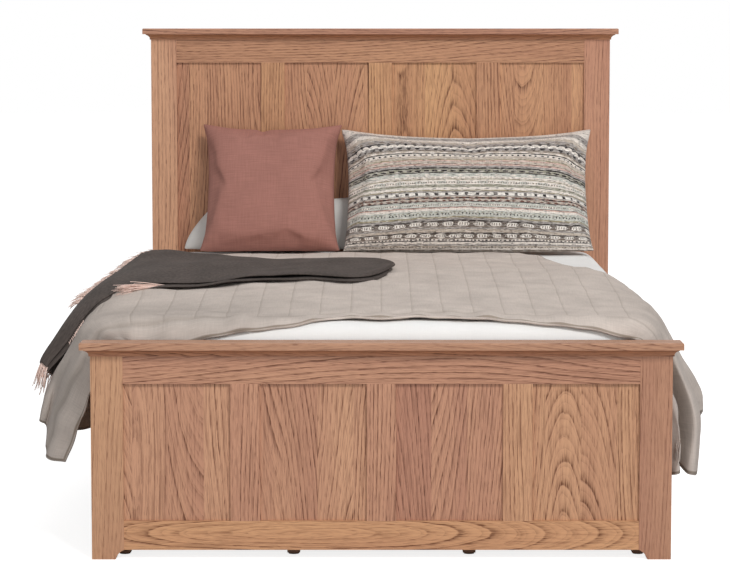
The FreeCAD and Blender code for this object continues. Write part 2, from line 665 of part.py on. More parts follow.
def quilt_section(share):
    """The closed outline of the quilt across the bed at one share of its length."""
    y = MATTRESS_FOOT_Y + QUILT_FROM_FOOT + QUILT_LENGTH * share
    outline = {}
    for inset in (0, QUILT_THICKNESS):
        for side in SIDES.values():
            outline[inset, side] = [Vector(side * out, y, height)
                                    for out, height in quilt_side(side, share, inset)]
    edges = []
    for inset in (0, QUILT_THICKNESS):
        for side in SIDES.values():
            hem, foot, middle, top = outline[inset, side]
            edges.append(Part.makeLine(hem, foot))
            edges.append(Part.Arc(foot, middle, top).toShape())
        edges.append(Part.makeLine(outline[inset, -1][3], outline[inset, 1][3]))
    for side in SIDES.values():
        edges.append(Part.makeLine(outline[0, side][0], outline[QUILT_THICKNESS, side][0]))
    return Part.Wire(Part.__sortEdges__(edges))


def quilt():
    steps = QUILT_FOLDS * QUILT_SECTIONS_PER_FOLD
    return Part.makeLoft([quilt_section(number / steps) for number in range(steps + 1)], True, False)


# ---- throw: laid across the bed and hung over its left side ----
def throw_stations():
    """Along the throw: (x, z) under its lower face, its normal's lean, middle y and width.

    It lies flat, follows the quilt's rounded shoulder, then hangs along the outermost fold."""
    flat = QUILT_TOP + CLOTH_CLEARANCE
    radius = QUILT_SHOULDER_RADIUS + CLOTH_CLEARANCE
    foot_out, foot_height = quilt_side(-1, 0, 0)[1]
    centre_out = quilt_side(-1, 0, 0)[3][0]
    centre_height = QUILT_TOP - QUILT_SHOULDER_RADIUS
    hem_out = MATTRESS_WIDTH / 2 + QUILT_LEFT_FLARE + QUILT_FOLD_DEPTH
    slope = math.atan2(foot_height - QUILT_HEM_HEIGHT - QUILT_HEM_RISE, hem_out - foot_out)
    end_out = foot_out + (foot_height - THROW_HEM_HEIGHT) / math.tan(slope)
    middle_y = FOOT_FACE_Y + THROW_FROM_FACE
    stations = [(THROW_END_X, flat, 0.0, middle_y, THROW_END_WIDTH),
                (THROW_END_X - 60, flat, 0.0, middle_y, THROW_WIDTH - 50),
                (-centre_out * 0.55, flat, 0.0, middle_y, THROW_WIDTH),
                (-centre_out, flat, 0.0, middle_y - 110, THROW_WIDTH)]
    final_turn = math.radians(90 - QUILT_SHOULDER_FOOT)
    for number in range(1, THROW_SHOULDER_STEPS + 1):
        share = number / THROW_SHOULDER_STEPS
        turn = final_turn * share
        stations.append((-(centre_out + radius * math.sin(turn)), centre_height + radius * math.cos(turn),
                         min(turn, slope), middle_y - 110 - 220 * share, THROW_WIDTH - 110 * share))
    stations.append((-end_out, THROW_HEM_HEIGHT, slope, middle_y - 620, THROW_HEM_WIDTH))
    return stations


def throw_section(station, lift, thickness):
    x, z, lean, middle_y, width = station
    normal = Vector(-math.sin(lean), 0, math.cos(lean))
    low = Vector(x, middle_y, z) + normal * lift
    high = low + normal * thickness
    side = Vector(0, width / 2, 0)
    return Part.makePolygon([low - side, low + side, high + side, high - side, low - side])


def throw():
    wires = [throw_section(station, THROW_LIFT, THROW_THICKNESS) for station in throw_stations()]
    return Part.makeLoft(wires, True, True)


def throw_fringe():
    """Thin combed yarn ends below the hanging end of the throw."""
    last = throw_stations()[-1]
    before = throw_stations()[-2]
    step = Vector(last[0] - before[0], last[3] - before[3], last[1] - before[1])
    step.normalize()
    end = (last[0] + step.x * FRINGE_LENGTH, last[1] + step.z * FRINGE_LENGTH, last[2],
           last[3] + step.y * FRINGE_LENGTH, last[4])
    lift = THROW_LIFT + (THROW_THICKNESS - FRINGE_THICKNESS) / 2
    return Part.makeLoft([throw_section(last, lift, FRINGE_THICKNESS),
                          throw_section(end, lift, FRINGE_THICKNESS)], True, True)


# ---- pillows: a seam outline whose sides draw in between the corners, swelling to a rounded middle ----
def pillow_outline(width, height, share, offset, draw_in, sag):
    """Four arcs through the corners, at a share of the full size and a distance off the seam plane."""
    half_width = width / 2 * share
    half_height = height / 2 * share
    corners = [Vector(x * half_width, offset, z * half_height)
               for x, z in ((-1, -1), (1, -1), (1, 1), (-1, 1))]
    edges = []
    for number, corner in enumerate(corners):
        following = corners[(number + 1) % 4]
        middle = (corner + following) * 0.5
        inward = middle * (-1 / middle.Length)
        inward = Vector(round(inward.x), 0, round(inward.z))
        edges.append(Part.Arc(corner, middle + inward * draw_in, following).toShape())
    outline = Part.Wire(edges)
    outline.translate(Vector(0, 0, -sag))
    return outline


def pillow(width, height, thickness, draw_in):
    """Outlines shrink from the seam to each face while the height over the seam plane grows.

    The filling settles, so the outlines nearer the middle of a face also sit lower."""
    wires = []
    for direction, order in ((-1, PILLOW_LAYERS), (1, PILLOW_LAYERS[-2::-1])):
        for share, rise in order:
            pull = draw_in * (2 * share - 1)
            wires.append(pillow_outline(width, height, share, direction * thickness / 2 * rise, pull,
                                        PILLOW_SAG * rise))
    return Part.makeLoft(wires, True, False)


def lean_back(shape, centre_x, lean):
    """Turns an upright pillow back and sets its lowest point on the sheet, well before the headboard."""
    shape.rotate(Vector(0, 0, 0), Vector(1, 0, 0), -lean)
    lowest = shape.optimalBoundingBox(True, False).ZMin
    shape.translate(Vector(centre_x, MATTRESS_HEAD_Y - MATTRESS_LENGTH / 3,
                           SHEET_TOP + CLOTH_CLEARANCE - lowest))
    return shape


def push_back(shape, stop):
    """Moves a pillow towards the head until only the cloth clearance is left before what stops it.

    A move by the gap itself can't pass the stop, so the gap closes step by step."""
    for _ in range(PUSH_STEPS):
        gap = shape.distToShape(stop)[0]
        if gap < 1.5 * CLOTH_CLEARANCE:
            break
        shape.translate(Vector(0, gap - CLOTH_CLEARANCE, 0))
    return shape


def headboard_stop():
    """The plane of the headboard's stiles, which the pillows lean on."""
    face_y = HEADBOARD.rail_face_y
    return block(-HALF_WIDTH, HALF_WIDTH, face_y, face_y + RAIL_THICKNESS, MATTRESS_TOP, HEAD_HEIGHT)


def pillows():
    """The plain pillow stands against the headboard, the cushion on it, the long pillow beside them."""
    plain = lean_back(pillow(PLAIN_PILLOW_WIDTH, PLAIN_PILLOW_HEIGHT, PLAIN_PILLOW_THICKNESS,
                             PLAIN_PILLOW_DRAW_IN), PLAIN_PILLOW_X, PLAIN_PILLOW_LEAN)
    plain = push_back(plain, headboard_stop())
    cushion = lean_back(pillow(CUSHION_SIZE, CUSHION_SIZE, CUSHION_THICKNESS, CUSHION_DRAW_IN),
                        CUSHION_X, CUSHION_LEAN)
    cushion = push_back(cushion, plain)
    long_pillow = lean_back(pillow(LONG_PILLOW_WIDTH, LONG_PILLOW_HEIGHT, LONG_PILLOW_THICKNESS,
                                   LONG_PILLOW_DRAW_IN), LONG_PILLOW_X, LONG_PILLOW_LEAN)
    long_pillow = push_back(long_pillow, headboard_stop())
    return {"plain_pillow": plain, "square_cushion": cushion, "long_pillow": long_pillow}


# ---- writing the nodes ----
HEADBOARD = Board("head", HEAD_FACE_Y, HEAD_HEIGHT, HEAD_TOP_RAIL_BOTTOM, HEAD_BOTTOM_RAIL_TOP,
                  HEAD_BOTTOM_RAIL_BOTTOM, False)
FOOTBOARD = Board("foot", FOOT_FACE_Y, FOOT_HEIGHT, FOOT_TOP_RAIL_BOTTOM, FOOT_BOTTOM_RAIL_TOP,
                  FOOT_BOTTOM_RAIL_BOTTOM, True)
HOOK_SETS = [HookSet(board, side) for board in (HEADBOARD, FOOTBOARD) for side in SIDES.values()]


def write_board(board):
    for word, side in SIDES.items():
        save(f"{board.name}_post_{word}", [post(board, side)])
    for word, edges in board.rails().items():
        save(f"{board.name}_{word}", [board_rail(board, edges)])
    for number, centre in enumerate(board.stile_centres(), 1):
        save(f"{board.name}_stile_{number}", [stile(board, centre)])
    for number in range(PANEL_COUNT):
        save(f"{board.name}_panel_{number + 1}", [panel(board, number)])
    save(f"{board.name}_cap", [cap(board)])
    save(f"{board.name}_cove_front", [cove_front(board)])
    save(f"{board.name}_cove_returns", [cove_return(board, side) for side in SIDES.values()])
    save(f"{board.name}_cap_dowels", cap_dowels(board))


def write_base():
    for word, side in SIDES.items():
        save(f"side_rail_{word}", [side_rail(side)])
        save(f"cleat_{word}", [cleat(side)])
        save(f"joist_{word}", [joist(side)])
    for number, centre_y in enumerate(bearer_places(), 1):
        save(f"bearer_{number}", [bearer(centre_y)])
        save(f"bearer_legs_{number}", bearer_legs(centre_y))
    save("leg_glides", leg_glides())
    save("slats", slats())
    save("slat_tapes", slat_tapes())
    save("post_hook_plates", [hook.post_plate() for hook in HOOK_SETS])
    save("rail_hook_plates", [hook.rail_plate() for hook in HOOK_SETS])
    screws = [screw for hook in HOOK_SETS for screw in hook.screw(0, 1) + hook.screw(-END_PLAY, -1)]
    save("hook_plate_screws", screws)
    save("cleat_screws", [screw for side in SIDES.values() for screw in cleat_screws(side)])


def write_bedding():
    save("mattress", [mattress()])
    save("fitted_sheet", [fitted_sheet()])
    save("quilt", [quilt()])
    save("throw", [throw()])
    save("throw_fringe", [throw_fringe()])
    for name, shape in pillows().items():
        save(name, [shape])


os.makedirs("parts", exist_ok=True)
write_board(HEADBOARD)
write_board(FOOTBOARD)
write_base()
write_bedding()
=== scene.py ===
"""Looks of the oak panel bed: finishes of boards and metal, bedding, light and camera, in metres."""

import logging
import math
from dataclasses import dataclass, field
from enum import Enum
from typing import Any, Callable, Optional, Sequence, Union

import bpy
import numpy as np
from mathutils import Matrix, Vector


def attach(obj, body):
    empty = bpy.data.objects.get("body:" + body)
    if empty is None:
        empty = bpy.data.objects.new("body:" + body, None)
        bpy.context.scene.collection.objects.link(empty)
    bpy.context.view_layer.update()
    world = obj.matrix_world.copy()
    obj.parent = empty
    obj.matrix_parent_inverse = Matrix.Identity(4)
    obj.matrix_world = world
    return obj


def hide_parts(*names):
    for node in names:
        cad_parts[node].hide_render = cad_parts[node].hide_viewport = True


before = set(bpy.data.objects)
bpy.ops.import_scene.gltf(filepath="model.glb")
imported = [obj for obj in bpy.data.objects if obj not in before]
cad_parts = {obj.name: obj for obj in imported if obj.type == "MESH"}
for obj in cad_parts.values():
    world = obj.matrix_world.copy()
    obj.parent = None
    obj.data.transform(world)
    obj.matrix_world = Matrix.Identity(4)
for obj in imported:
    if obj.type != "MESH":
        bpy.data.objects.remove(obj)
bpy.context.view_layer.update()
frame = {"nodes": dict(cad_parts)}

log = logging.getLogger("panel_bed")

Array = np.ndarray
RGB = tuple[int, int, int]
XYZ = tuple[float, float, float]
Socket = bpy.types.NodeSocket
Shell = tuple[Array, Array, Array]
Material = bpy.types.Material
Piece = bpy.types.Object

CLOTH_UV = "cloth"  # the UV map of woven pieces, in metres of flat cloth
BORDER = "border"  # the distance of a vertex of the quilt to the edge of its cloth
QUILT_CELL = 0.088  # metres between the quilt's stitched lines
QUILT_BAND = 0.085  # and the width of its plain hem band

# ------------------------------------------------------------------ numbers


def linear(colour: Sequence[float], gain: float = 1.0) -> tuple[float, float, float, float]:
    """Turns a colour as the eye reads it into the light it stands for.

    Args:
        colour: red, green and blue, 0 to 255.
        gain: a factor on the result.

    Returns:
        Red, green, blue and alpha as linear values.
    """
    v = np.array(colour, float) / 255
    v = np.where(v <= 0.04045, v / 12.92, ((v + 0.055) / 1.055) ** 2.4) * gain
    return (float(v[0]), float(v[1]), float(v[2]), 1.0)


def ease(x: Array) -> Array:
    """Smooth step: 3t² − 2t³ with t held between 0 and 1."""
    t = np.clip(x, 0, 1)
    return t * t * (3 - 2 * t)


def curve(knots: Sequence[float], values: Array, at: Array, own: bool = False) -> Array:
    """Smooth curve through given values: a cubic between two of them, with slopes at both. The slope at each
    is that of the chord between its neighbours.

    Args:
        knots: rising positions.
        values: one row of values for each knot, the same at every place or its own, on the last axis but one.
        at: positions to read.
        own: whether every place has its own values.

    Returns:
        The values there, with the shape of `at` before that of one value.
    """
    k = np.asarray(knots, float)
    slope = np.gradient(values, k, axis=-2 if own else 0)
    i = np.clip(np.searchsorted(k, at, side="right") - 1, 0, len(k) - 2)
    wide = (...,) + (None,) * (1 if own else values.ndim - 1)
    h = (k[i + 1] - k[i])[wide]
    t = (at - k[i])[wide] / h

    def pick(rows: Array, number: Array) -> Array:
        """The rows of these numbers."""
        return np.take_along_axis(rows, number[..., None, None], -2)[..., 0, :] if own else rows[number]

    a, b, p, q = pick(values, i), pick(values, i + 1), h * pick(slope, i), h * pick(slope, i + 1)
    return a + t * (p + t * (3 * (b - a) - 2 * p - q + t * (2 * (a - b) + p + q)))


def waves(x: Array, y: Array, seed: int, lengths: Sequence[float]) -> Array:
    """Soft unevenness: a sum of sines in seeded directions, each with its length as a share of the height.

    Args:
        x: first position, in metres.
        y: second position, in metres.
        seed: seed of the directions and starts.
        lengths: wavelengths in metres.

    Returns:
        Values of about −1 to 1.
    """
    rng = np.random.default_rng(seed)
    total = np.zeros(np.broadcast(x, y).shape)
    for length in np.repeat(lengths, 3):
        a, start = rng.uniform(0, math.pi), rng.uniform(0, 2 * math.pi)
        total = total + length * np.sin(2 * math.pi * (x * math.cos(a) + y * math.sin(a)) / length + start)
    return total / (3 * sum(lengths)) * 1.8


def normals(p: Array) -> Array:
    """Normals of a grid: the cross product of its two directions, at length one."""
    n = np.cross(np.gradient(p, axis=1), np.gradient(p, axis=0))
    return n / np.maximum(np.linalg.norm(n, axis=-1, keepdims=True), 1e-12)


# ------------------------------------------------------------------- meshes


def quads(index: Array, flip: bool = False) -> Array:
    """The four-cornered faces of a grid of vertex numbers, one row of four numbers each."""
    f = np.stack([index[:-1, :-1], index[:-1, 1:], index[1:, 1:], index[1:, :-1]], -1).reshape(-1, 4)
    return f[:, ::-1] if flip else f


def two_sided(top: Array, under: Array, uv: Array) -> Shell:
    """Closes two grids of points that share their rim.

    Args:
        top: points of the outer side.
        under: points of the other side.
        uv: flat coordinates of both.

    Returns:
        Points, faces and flat coordinates.
    """
    index = np.arange(top.shape[0] * top.shape[1]).reshape(top.shape[:2])
    inner = np.zeros(index.shape, bool)
    inner[1:-1, 1:-1] = True
    second = index.copy()
    second[inner] = index.size + np.arange(inner.sum())
    points = np.concatenate([top.reshape(-1, 3), under[inner]])
    flat = np.concatenate([uv.reshape(-1, 2), uv[inner]])
    return points, np.concatenate([quads(index), quads(second, flip=True)]), flat


def make(name: str, points: Array, faces: Array, uv: Optional[Array] = None) -> Piece:
    """Makes a smooth mesh object at the origin and links it to the scene.

    Args:
        name: its name.
        points: vertices, one row each.
        faces: four vertex numbers a row.
        uv: flat cloth coordinates of the vertices.

    Returns:
        The object.
    """
    mesh = bpy.data.meshes.new(name)
    mesh.vertices.add(len(points))
    mesh.vertices.foreach_set("co", points.astype(np.float32).ravel())
    mesh.loops.add(faces.size)
    mesh.loops.foreach_set("vertex_index", faces.astype(np.int32).ravel())
    mesh.polygons.add(len(faces))
    mesh.polygons.foreach_set("loop_start", np.arange(0, faces.size, 4, dtype=np.int32))
    mesh.polygons.foreach_set("loop_total", np.full(len(faces), 4, np.int32))
    mesh.update(calc_edges=True)
    mesh.validate()
    mesh.shade_smooth()
    if uv is not None:
        mesh.uv_layers.new(name=CLOTH_UV).data.foreach_set("uv", uv[faces.ravel()].astype(np.float32).ravel())
    obj = bpy.data.objects.new(name, mesh)
    bpy.context.scene.collection.objects.link(obj)
    return obj


def thicken(obj: Piece, thickness: float, offset: float = 1.0) -> None:
    """Gives a sheet its thickness, outwards for an offset of 1 and inwards for −1."""
    m = obj.modifiers.new("thickness", "SOLIDIFY")
    m.thickness, m.offset, m.use_even_offset = thickness, offset, False


def paint(obj: Piece, material: Material) -> None:
    """Gives a piece one material and nothing else.

    Args:
        obj: the piece.
        material: its material.
    """
    obj.data.materials.clear()
    obj.data.materials.append(material)
    log.info("%s: %s", obj.name, material.name)


def finish_piece(obj: Piece, node: str, material: Material) -> Piece:
    """Dresses a finished piece, lets it ride on the one body and stand for its CAD node.

    Args:
        obj: the piece.
        node: the CAD node that it stands for.
        material: its finish.

    Returns:
        The piece.
    """
    paint(obj, material)
    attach(obj, "root")
    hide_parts(node)
    return obj


# ---------------------------------------------------------------- materials


def operator(op: str, turned: bool = False) -> Callable:
    """Makes the method of a reading that adds one Math node.

    Args:
        op: the node's operation.
        turned: whether the reading is the second operand.

    Returns:
        The method.
    """

    def method(self: "Reading", other: "Value" = 0.0) -> "Reading":
        """The node's result."""
        return self.net.math(op, *((other, self) if turned else (self, other)))

    return method


class Reading:
    """A value that changes over a surface, which sums, products and comparisons add Math nodes to."""

    def __init__(self, net: "Net", socket: Socket) -> None:
        """Keeps the net and the socket."""
        self.net, self.socket = net, socket

    __add__, __mul__, __truediv__, __pow__ = (operator(op) for op in ("ADD", "MULTIPLY", "DIVIDE", "POWER"))
    __sub__, __rsub__ = operator("SUBTRACT"), operator("SUBTRACT", turned=True)
    __lt__, __gt__, __abs__ = (operator(op) for op in ("LESS_THAN", "GREATER_THAN", "ABSOLUTE"))


Value = Union[float, Reading]


class Net:
    """Adds nodes to one node tree and links them."""

    def __init__(self, tree: bpy.types.NodeTree) -> None:
        """Keeps the tree."""
        self.tree = tree

    def put(self, socket: Socket, value: Any) -> None:
        """Gives a socket its value.

        Args:
            socket: the input.
            value: a reading or a socket, which is linked, or else what the socket is set to.
        """
        if isinstance(value, Reading):
            value = value.socket
        if isinstance(value, bpy.types.NodeSocket):
            self.tree.links.new(value, socket)
        else:
            socket.default_value = value

    def node(self, kind: str, inputs: Optional[dict] = None, **settings: Any) -> bpy.types.Node:
        """Adds a node.

        Args:
            kind: its type.
            inputs: what goes into it, by input name or number.
            settings: properties of the node.

        Returns:
            The node.
        """
        made = self.tree.nodes.new(kind)
        for key, value in settings.items():
            setattr(made, key, value)
        for key, value in (inputs or {}).items():
            self.put(made.inputs[key], value)
        return made

    def read(self, socket: Socket) -> Reading:
        """A socket as a reading."""
        return Reading(self, socket)

    def math(self, op: str, a: Value, b: Value = 0.0) -> Reading:
        """One Math node's result."""
        return self.read(self.node("ShaderNodeMath", {0: a, 1: b}, operation=op).outputs[0])

    def split(self, vector: Any) -> list[Reading]:
        """The three parts of a vector or a colour."""
        return [self.read(part) for part in self.node("ShaderNodeSeparateXYZ", {0: vector}).outputs]

    def pack(self, x: Value, y: Value = 0.0, z: Value = 0.0) -> Reading:
        """A vector of three values."""
        return self.read(self.node("ShaderNodeCombineXYZ", {0: x, 1: y, 2: z}).outputs[0])

    def length(self, vector: Reading) -> Reading:
        """The length of a vector."""
        return self.read(self.node("ShaderNodeVectorMath", {0: vector}, operation="LENGTH").outputs["Value"])

    def mix(self, factor: Value, a: Any, b: Any, blend: str = "MIX") -> Reading:
        """A mix of two colours."""
        inputs = {0: factor, 6: a, 7: b}
        return self.read(self.node("ShaderNodeMix", inputs, data_type="RGBA", blend_type=blend).outputs[2])

    def shaded(self, colour: Any, shade: Reading) -> Reading:
        """A colour times a grey."""
        return self.mix(1.0, colour, self.pack(shade, shade, shade), "MULTIPLY")

    def noise(self, place: Any, detail: float = 2.0, rough: float = 0.5, scale: float = 1.0) -> Reading:
        """A noise's value, 0 to 1."""
        inputs = {"Vector": place, "Scale": scale, "Detail": detail, "Roughness": rough}
        return self.read(self.node("ShaderNodeTexNoise", inputs).outputs[0])

    def ramp(
        self, value: Value, low: float, high: float, to_low: float = 0.0, to_high: float = 1.0
    ) -> Reading:
        """A smooth step of a value from one range to another."""
        inputs = {"Value": value, "From Min": low, "From Max": high, "To Min": to_low, "To Max": to_high}
        return self.read(self.node("ShaderNodeMapRange", inputs, interpolation_type="SMOOTHSTEP").outputs[0])

    def group(self, tree: bpy.types.NodeTree, inputs: dict) -> dict[str, Reading]:
        """Places a node group.

        Args:
            tree: the group.
            inputs: the values of its inputs, by name.

        Returns:
            Its outputs by name.
        """
        made = self.node("ShaderNodeGroup", node_tree=tree)
        for key, value in inputs.items():
            self.put(made.inputs[key], value)
        return {output.name: self.read(output) for output in made.outputs}


def new_group(name: str, inputs: dict[str, float], outputs: Sequence[str]) -> tuple:
    """Starts a shader node group with a vector input called Vector.

    Args:
        name: its name.
        inputs: defaults of its other inputs by name.
        outputs: names of its outputs.

    Returns:
        The tree, its Net, readings of the inputs by name and the output node.
    """
    tree = bpy.data.node_groups.new(name, "ShaderNodeTree")
    tree.interface.new_socket("Vector", in_out="INPUT", socket_type="NodeSocketVector")
    for label, default in inputs.items():
        socket = tree.interface.new_socket(label, in_out="INPUT", socket_type="NodeSocketFloat")
        socket.default_value = default
    for label in outputs:
        tree.interface.new_socket(label, in_out="OUTPUT", socket_type="NodeSocketFloat")
    net = Net(tree)
    given = {socket.name: net.read(socket) for socket in net.node("NodeGroupInput").outputs if socket.name}
    return tree, net, given, net.node("NodeGroupOutput")


@dataclass(frozen=True)
class OakGrain:
    """Oak seen on a sawn face. The grain runs along Z of the input.

    The board is cut into staves across X. Each stave lies at its own seeded distance from the heart of its
    tree, and a ring number is the distance to the heart over the ring width, bent by a noise that is long
    along the grain and with the heart drawing near along the board, which gives the pointed arches of
    flat-sawn oak. A ring is dark where its pores are and fades outwards.
    """

    heart_near: float = 0.026  # least distance of the heart behind the face, and how much more it may be
    heart_more: float = 0.06
    sway: float = 1.96  # how fast the heart draws near along the board
    bend_across: float = 0.05
    bend_through: float = 0.03
    ripple: float = 0.007
    ring_fade: float = 3.6
    ring_rise: float = 0.10
    lesser_rings: float = 2.6  # fainter rings between two rings, and their strength
    lesser: float = 0.34
    streaks: tuple[float, float] = (230.0, 9.0)  # how often they come across and along the grain, per metre
    pores: tuple[float, float] = (420.0, 34.0)

    def group(self) -> bpy.types.NodeTree:
        """Builds the grain.

        Returns:
            The node group, with outputs Grain, Pores, Tone and Height.
        """
        defaults = {"Seed": 0.0, "Stave": 9.0, "Ring": 0.008, "Taper": 0.1, "Spread": 0.34, "Aside": -0.17}
        tree, net, given, out = new_group("oak_grain", defaults, ["Grain", "Pores", "Tone", "Height"])
        x, y, z = net.split(given["Vector"])
        seed, wide = given["Seed"], given["Stave"]
        start = seed * 0.37
        stave = net.math("FLOOR", x / wide + start)
        dice = net.node("ShaderNodeTexWhiteNoise", {"Vector": net.pack(stave, seed)}, noise_dimensions="2D")
        first, second, third = net.split(dice.outputs["Color"])
        across = first * given["Spread"] + given["Aside"]
        centre = (stave + 0.5 - start) * wide * (wide < 1.0)
        along = z + third * 7.0
        bend_at = net.pack(x * 4.0, seed * 3.1, along * 0.75)
        bend = net.node("ShaderNodeTexNoise", {"Vector": bend_at, "Scale": 1.0, "Detail": 2.0})
        sideways, inwards, _ = net.split(bend.outputs["Color"])
        ripple = (net.noise(net.pack(x * 18.0, seed, along * 6.0), 4.0, 0.55) - 0.5) * self.ripple
        dx = x - centre - across + (sideways - 0.5) * self.bend_across
        near = (net.math("SINE", along * self.sway) * 0.8 + 0.8) * given["Taper"]
        dy = second * self.heart_more + self.heart_near + y + (inwards - 0.5) * self.bend_through + near
        number = (net.length(net.pack(dx, dy)) + ripple) / given["Ring"]
        part = net.math("FRACT", number)
        year_at = net.math("FLOOR", number) + seed * 9.0
        year = net.node("ShaderNodeTexWhiteNoise", {"W": year_at}, noise_dimensions="1D").outputs["Value"]
        fade = (1.0 - part) ** self.ring_fade * net.ramp(part, 0.0, self.ring_rise)
        grain = fade * (net.read(year) * 1.1 + 0.45)
        lesser = (1.0 - net.math("FRACT", number * self.lesser_rings)) ** 3.0
        grain = net.math("MAXIMUM", grain, lesser * self.lesser)
        (often, long), (close, short) = self.streaks, self.pores
        streak = net.ramp(net.noise(net.pack(x * often, y * often, along * long), 3.0, 0.6), 0.50, 0.66)
        pores = net.ramp(net.noise(net.pack(x * close, y * close, along * short), 1.0), 0.48, 0.66)
        tone = (third - 0.5) * 0.3 + net.noise(net.pack(x * 11.0, seed, along * 0.9), 3.0) - 0.5
        pored = net.math("MAXIMUM", streak * (grain * 0.5 + 0.45), pores * (grain * 0.9 + 0.25))
        height = 1.0 - (grain + pored) * 0.5
        for label, value in (("Grain", grain), ("Pores", pored), ("Tone", tone), ("Height", height)):
            net.put(out.inputs[label], value)
        return tree


def weave_group() -> bpy.types.NodeTree:
    """Plain weave on flat coordinates in metres: long thin noises, one for each set of yarns.

    Returns:
        The group, with outputs Slub (thick and thin yarns, 0 to 1) and Cloud (broad unevenness, 0 to 1).
    """
    tree, net, given, out = new_group("weave", {"Yarn": 0.002, "Length": 0.06}, ["Slub", "Cloud"])
    x, y, _ = net.split(given["Vector"])
    thin, long = given["Yarn"], given["Length"]
    weft = net.noise(net.pack(x / long, y / thin), 2.0)
    warp = net.noise(net.pack(x / thin, y / long, 7.0), 1.0)
    net.put(out.inputs["Slub"], warp * 0.4 + weft * 0.6)
    net.put(out.inputs["Cloud"], net.noise(given["Vector"], 3.0, scale=9.0))
    return tree


def surface(name: str, settings: dict[str, float]) -> tuple[Material, Net, bpy.types.Node]:
    """Starts a material.

    Args:
        name: its name.
        settings: plain numbers of the shader, by input name.

    Returns:
        The material, its Net and its Principled BSDF.
    """
    material = bpy.data.materials.new(name)
    material.use_nodes = True
    shader = material.node_tree.nodes["Principled BSDF"]
    for label, number in settings.items():
        shader.inputs[label].default_value = number
    return material, Net(material.node_tree), shader


def bump(net: Net, shader: bpy.types.Node, height: Reading, distance: float, strength: float = 1.0) -> None:
    """Feeds a height times a distance in metres to the shader's normal."""
    n = net.node("ShaderNodeBump", {"Height": height, "Distance": distance, "Strength": strength})
    net.put(shader.inputs["Normal"], n.outputs[0])


class Grain(Enum):
    """The way a board's grain runs, with the axes across, through and along it."""

    X = (2, 1, 0)
    Y = (2, 0, 1)
    Z = (0, 1, 2)


@dataclass(frozen=True)
class Oak:
    """Oiled oak on one board. Seed and all from stave to taper go into the grain group."""

    name: str
    grain: Grain
    seed: float
    light: Sequence[float]
    dark: RGB
    stave: float
    ring: float
    spread: float
    aside: float
    taper: float
    depth: float
    middle: XYZ
    cool: RGB = (222, 203, 198)
    warm: RGB = (255, 247, 234)

    def material(self, tree: bpy.types.NodeTree) -> Material:
        """Builds the finish.

        Args:
            tree: the oak_grain group.

        Returns:
            The material.
        """
        made, net, shader = surface(self.name, {"Specular IOR Level": 0.35})
        where = net.node("ShaderNodeTexCoord").outputs["Object"]
        moved = net.node("ShaderNodeVectorMath", {0: where, 1: self.middle}, operation="SUBTRACT")
        parts = net.split(moved.outputs[0])
        given = {"Seed": self.seed, "Stave": self.stave, "Ring": self.ring}
        given |= {"Taper": self.taper, "Spread": self.spread, "Aside": self.aside}
        oak = net.group(tree, given | {"Vector": net.pack(*(parts[k] for k in self.grain.value))})
        shade = oak["Grain"] * (0.54 * self.depth) + oak["Pores"] * (0.70 * self.depth)
        colour = net.mix(shade, linear(self.light), linear(self.dark))
        tone = net.mix(net.ramp(oak["Tone"], -0.45, 0.55), linear(self.cool), linear(self.warm))
        net.put(shader.inputs["Base Color"], net.mix(1.0, colour, tone, "MULTIPLY"))
        net.put(shader.inputs["Roughness"], net.ramp(oak["Height"], 0.0, 1.0, 0.62, 0.48))
        bump(net, shader, oak["Height"], 0.0006)
        return made


@dataclass(frozen=True)
class Plain:
    """A one-colour finish with a little unevenness: lesser wood, steel, felt, tape, yarn."""

    name: str
    colour: RGB
    rough: float = 0.6
    metallic: float = 0.0
    uneven: float = 0.08
    scale: float = 30.0

    def material(self) -> Material:
        """Builds the finish.

        Returns:
            The material.
        """
        made, net, shader = surface(self.name, {"Roughness": self.rough, "Metallic": self.metallic})
        where = net.node("ShaderNodeTexCoord").outputs["Object"]
        spots = net.noise(where, 3.0, scale=self.scale)
        low, high = linear(self.colour, 1 - self.uneven), linear(self.colour, 1 + self.uneven)
        net.put(shader.inputs["Base Color"], net.mix(spots, low, high))
        bump(net, shader, spots, 0.0003, 0.5)
        return made


@dataclass(frozen=True)
class Cloth:
    """Woven cloth on the piece's own flat coordinates."""

    name: str
    colour: RGB
    slub: float = 0.16  # strength of thick and thin yarns, and of a broad unevenness
    cloud: float = 0.06
    yarn: float = 0.0022  # metres from yarn to yarn, and along a yarn from thick to thin
    run: float = 0.05
    sheen: float = 0.15

    def start(self, tree: bpy.types.NodeTree) -> tuple:
        """Starts the finish.

        Args:
            tree: the weave group.

        Returns:
            The material, its Net, its shader, the flat coordinates, the colour and the height.
        """
        soft = {"Roughness": 0.9, "Sheen Roughness": 0.5, "Specular IOR Level": 0.2}
        made, net, shader = surface(self.name, soft | {"Sheen Weight": self.sheen})
        where = net.node("ShaderNodeUVMap", uv_map=CLOTH_UV).outputs[0]
        weave = net.group(tree, {"Vector": where, "Yarn": self.yarn, "Length": self.run})
        low, high = linear(self.colour, 1 - 2 * self.slub), linear(self.colour, 1 + 2 * self.slub)
        shade = weave["Cloud"] * (4 * self.cloud) + (1 - 2 * self.cloud)
        colour = net.shaded(net.mix(weave["Slub"], low, high), shade)
        return made, net, shader, where, colour, weave["Slub"]

    def material(self, tree: bpy.types.NodeTree) -> Material:
        """Builds the plain finish.

        Args:
            tree: the group of the weave.

        Returns:
            The material.
        """
        made, net, shader, _, colour, height = self.start(tree)
        net.put(shader.inputs["Base Color"], colour)
        bump(net, shader, height, 0.0008)
        return made


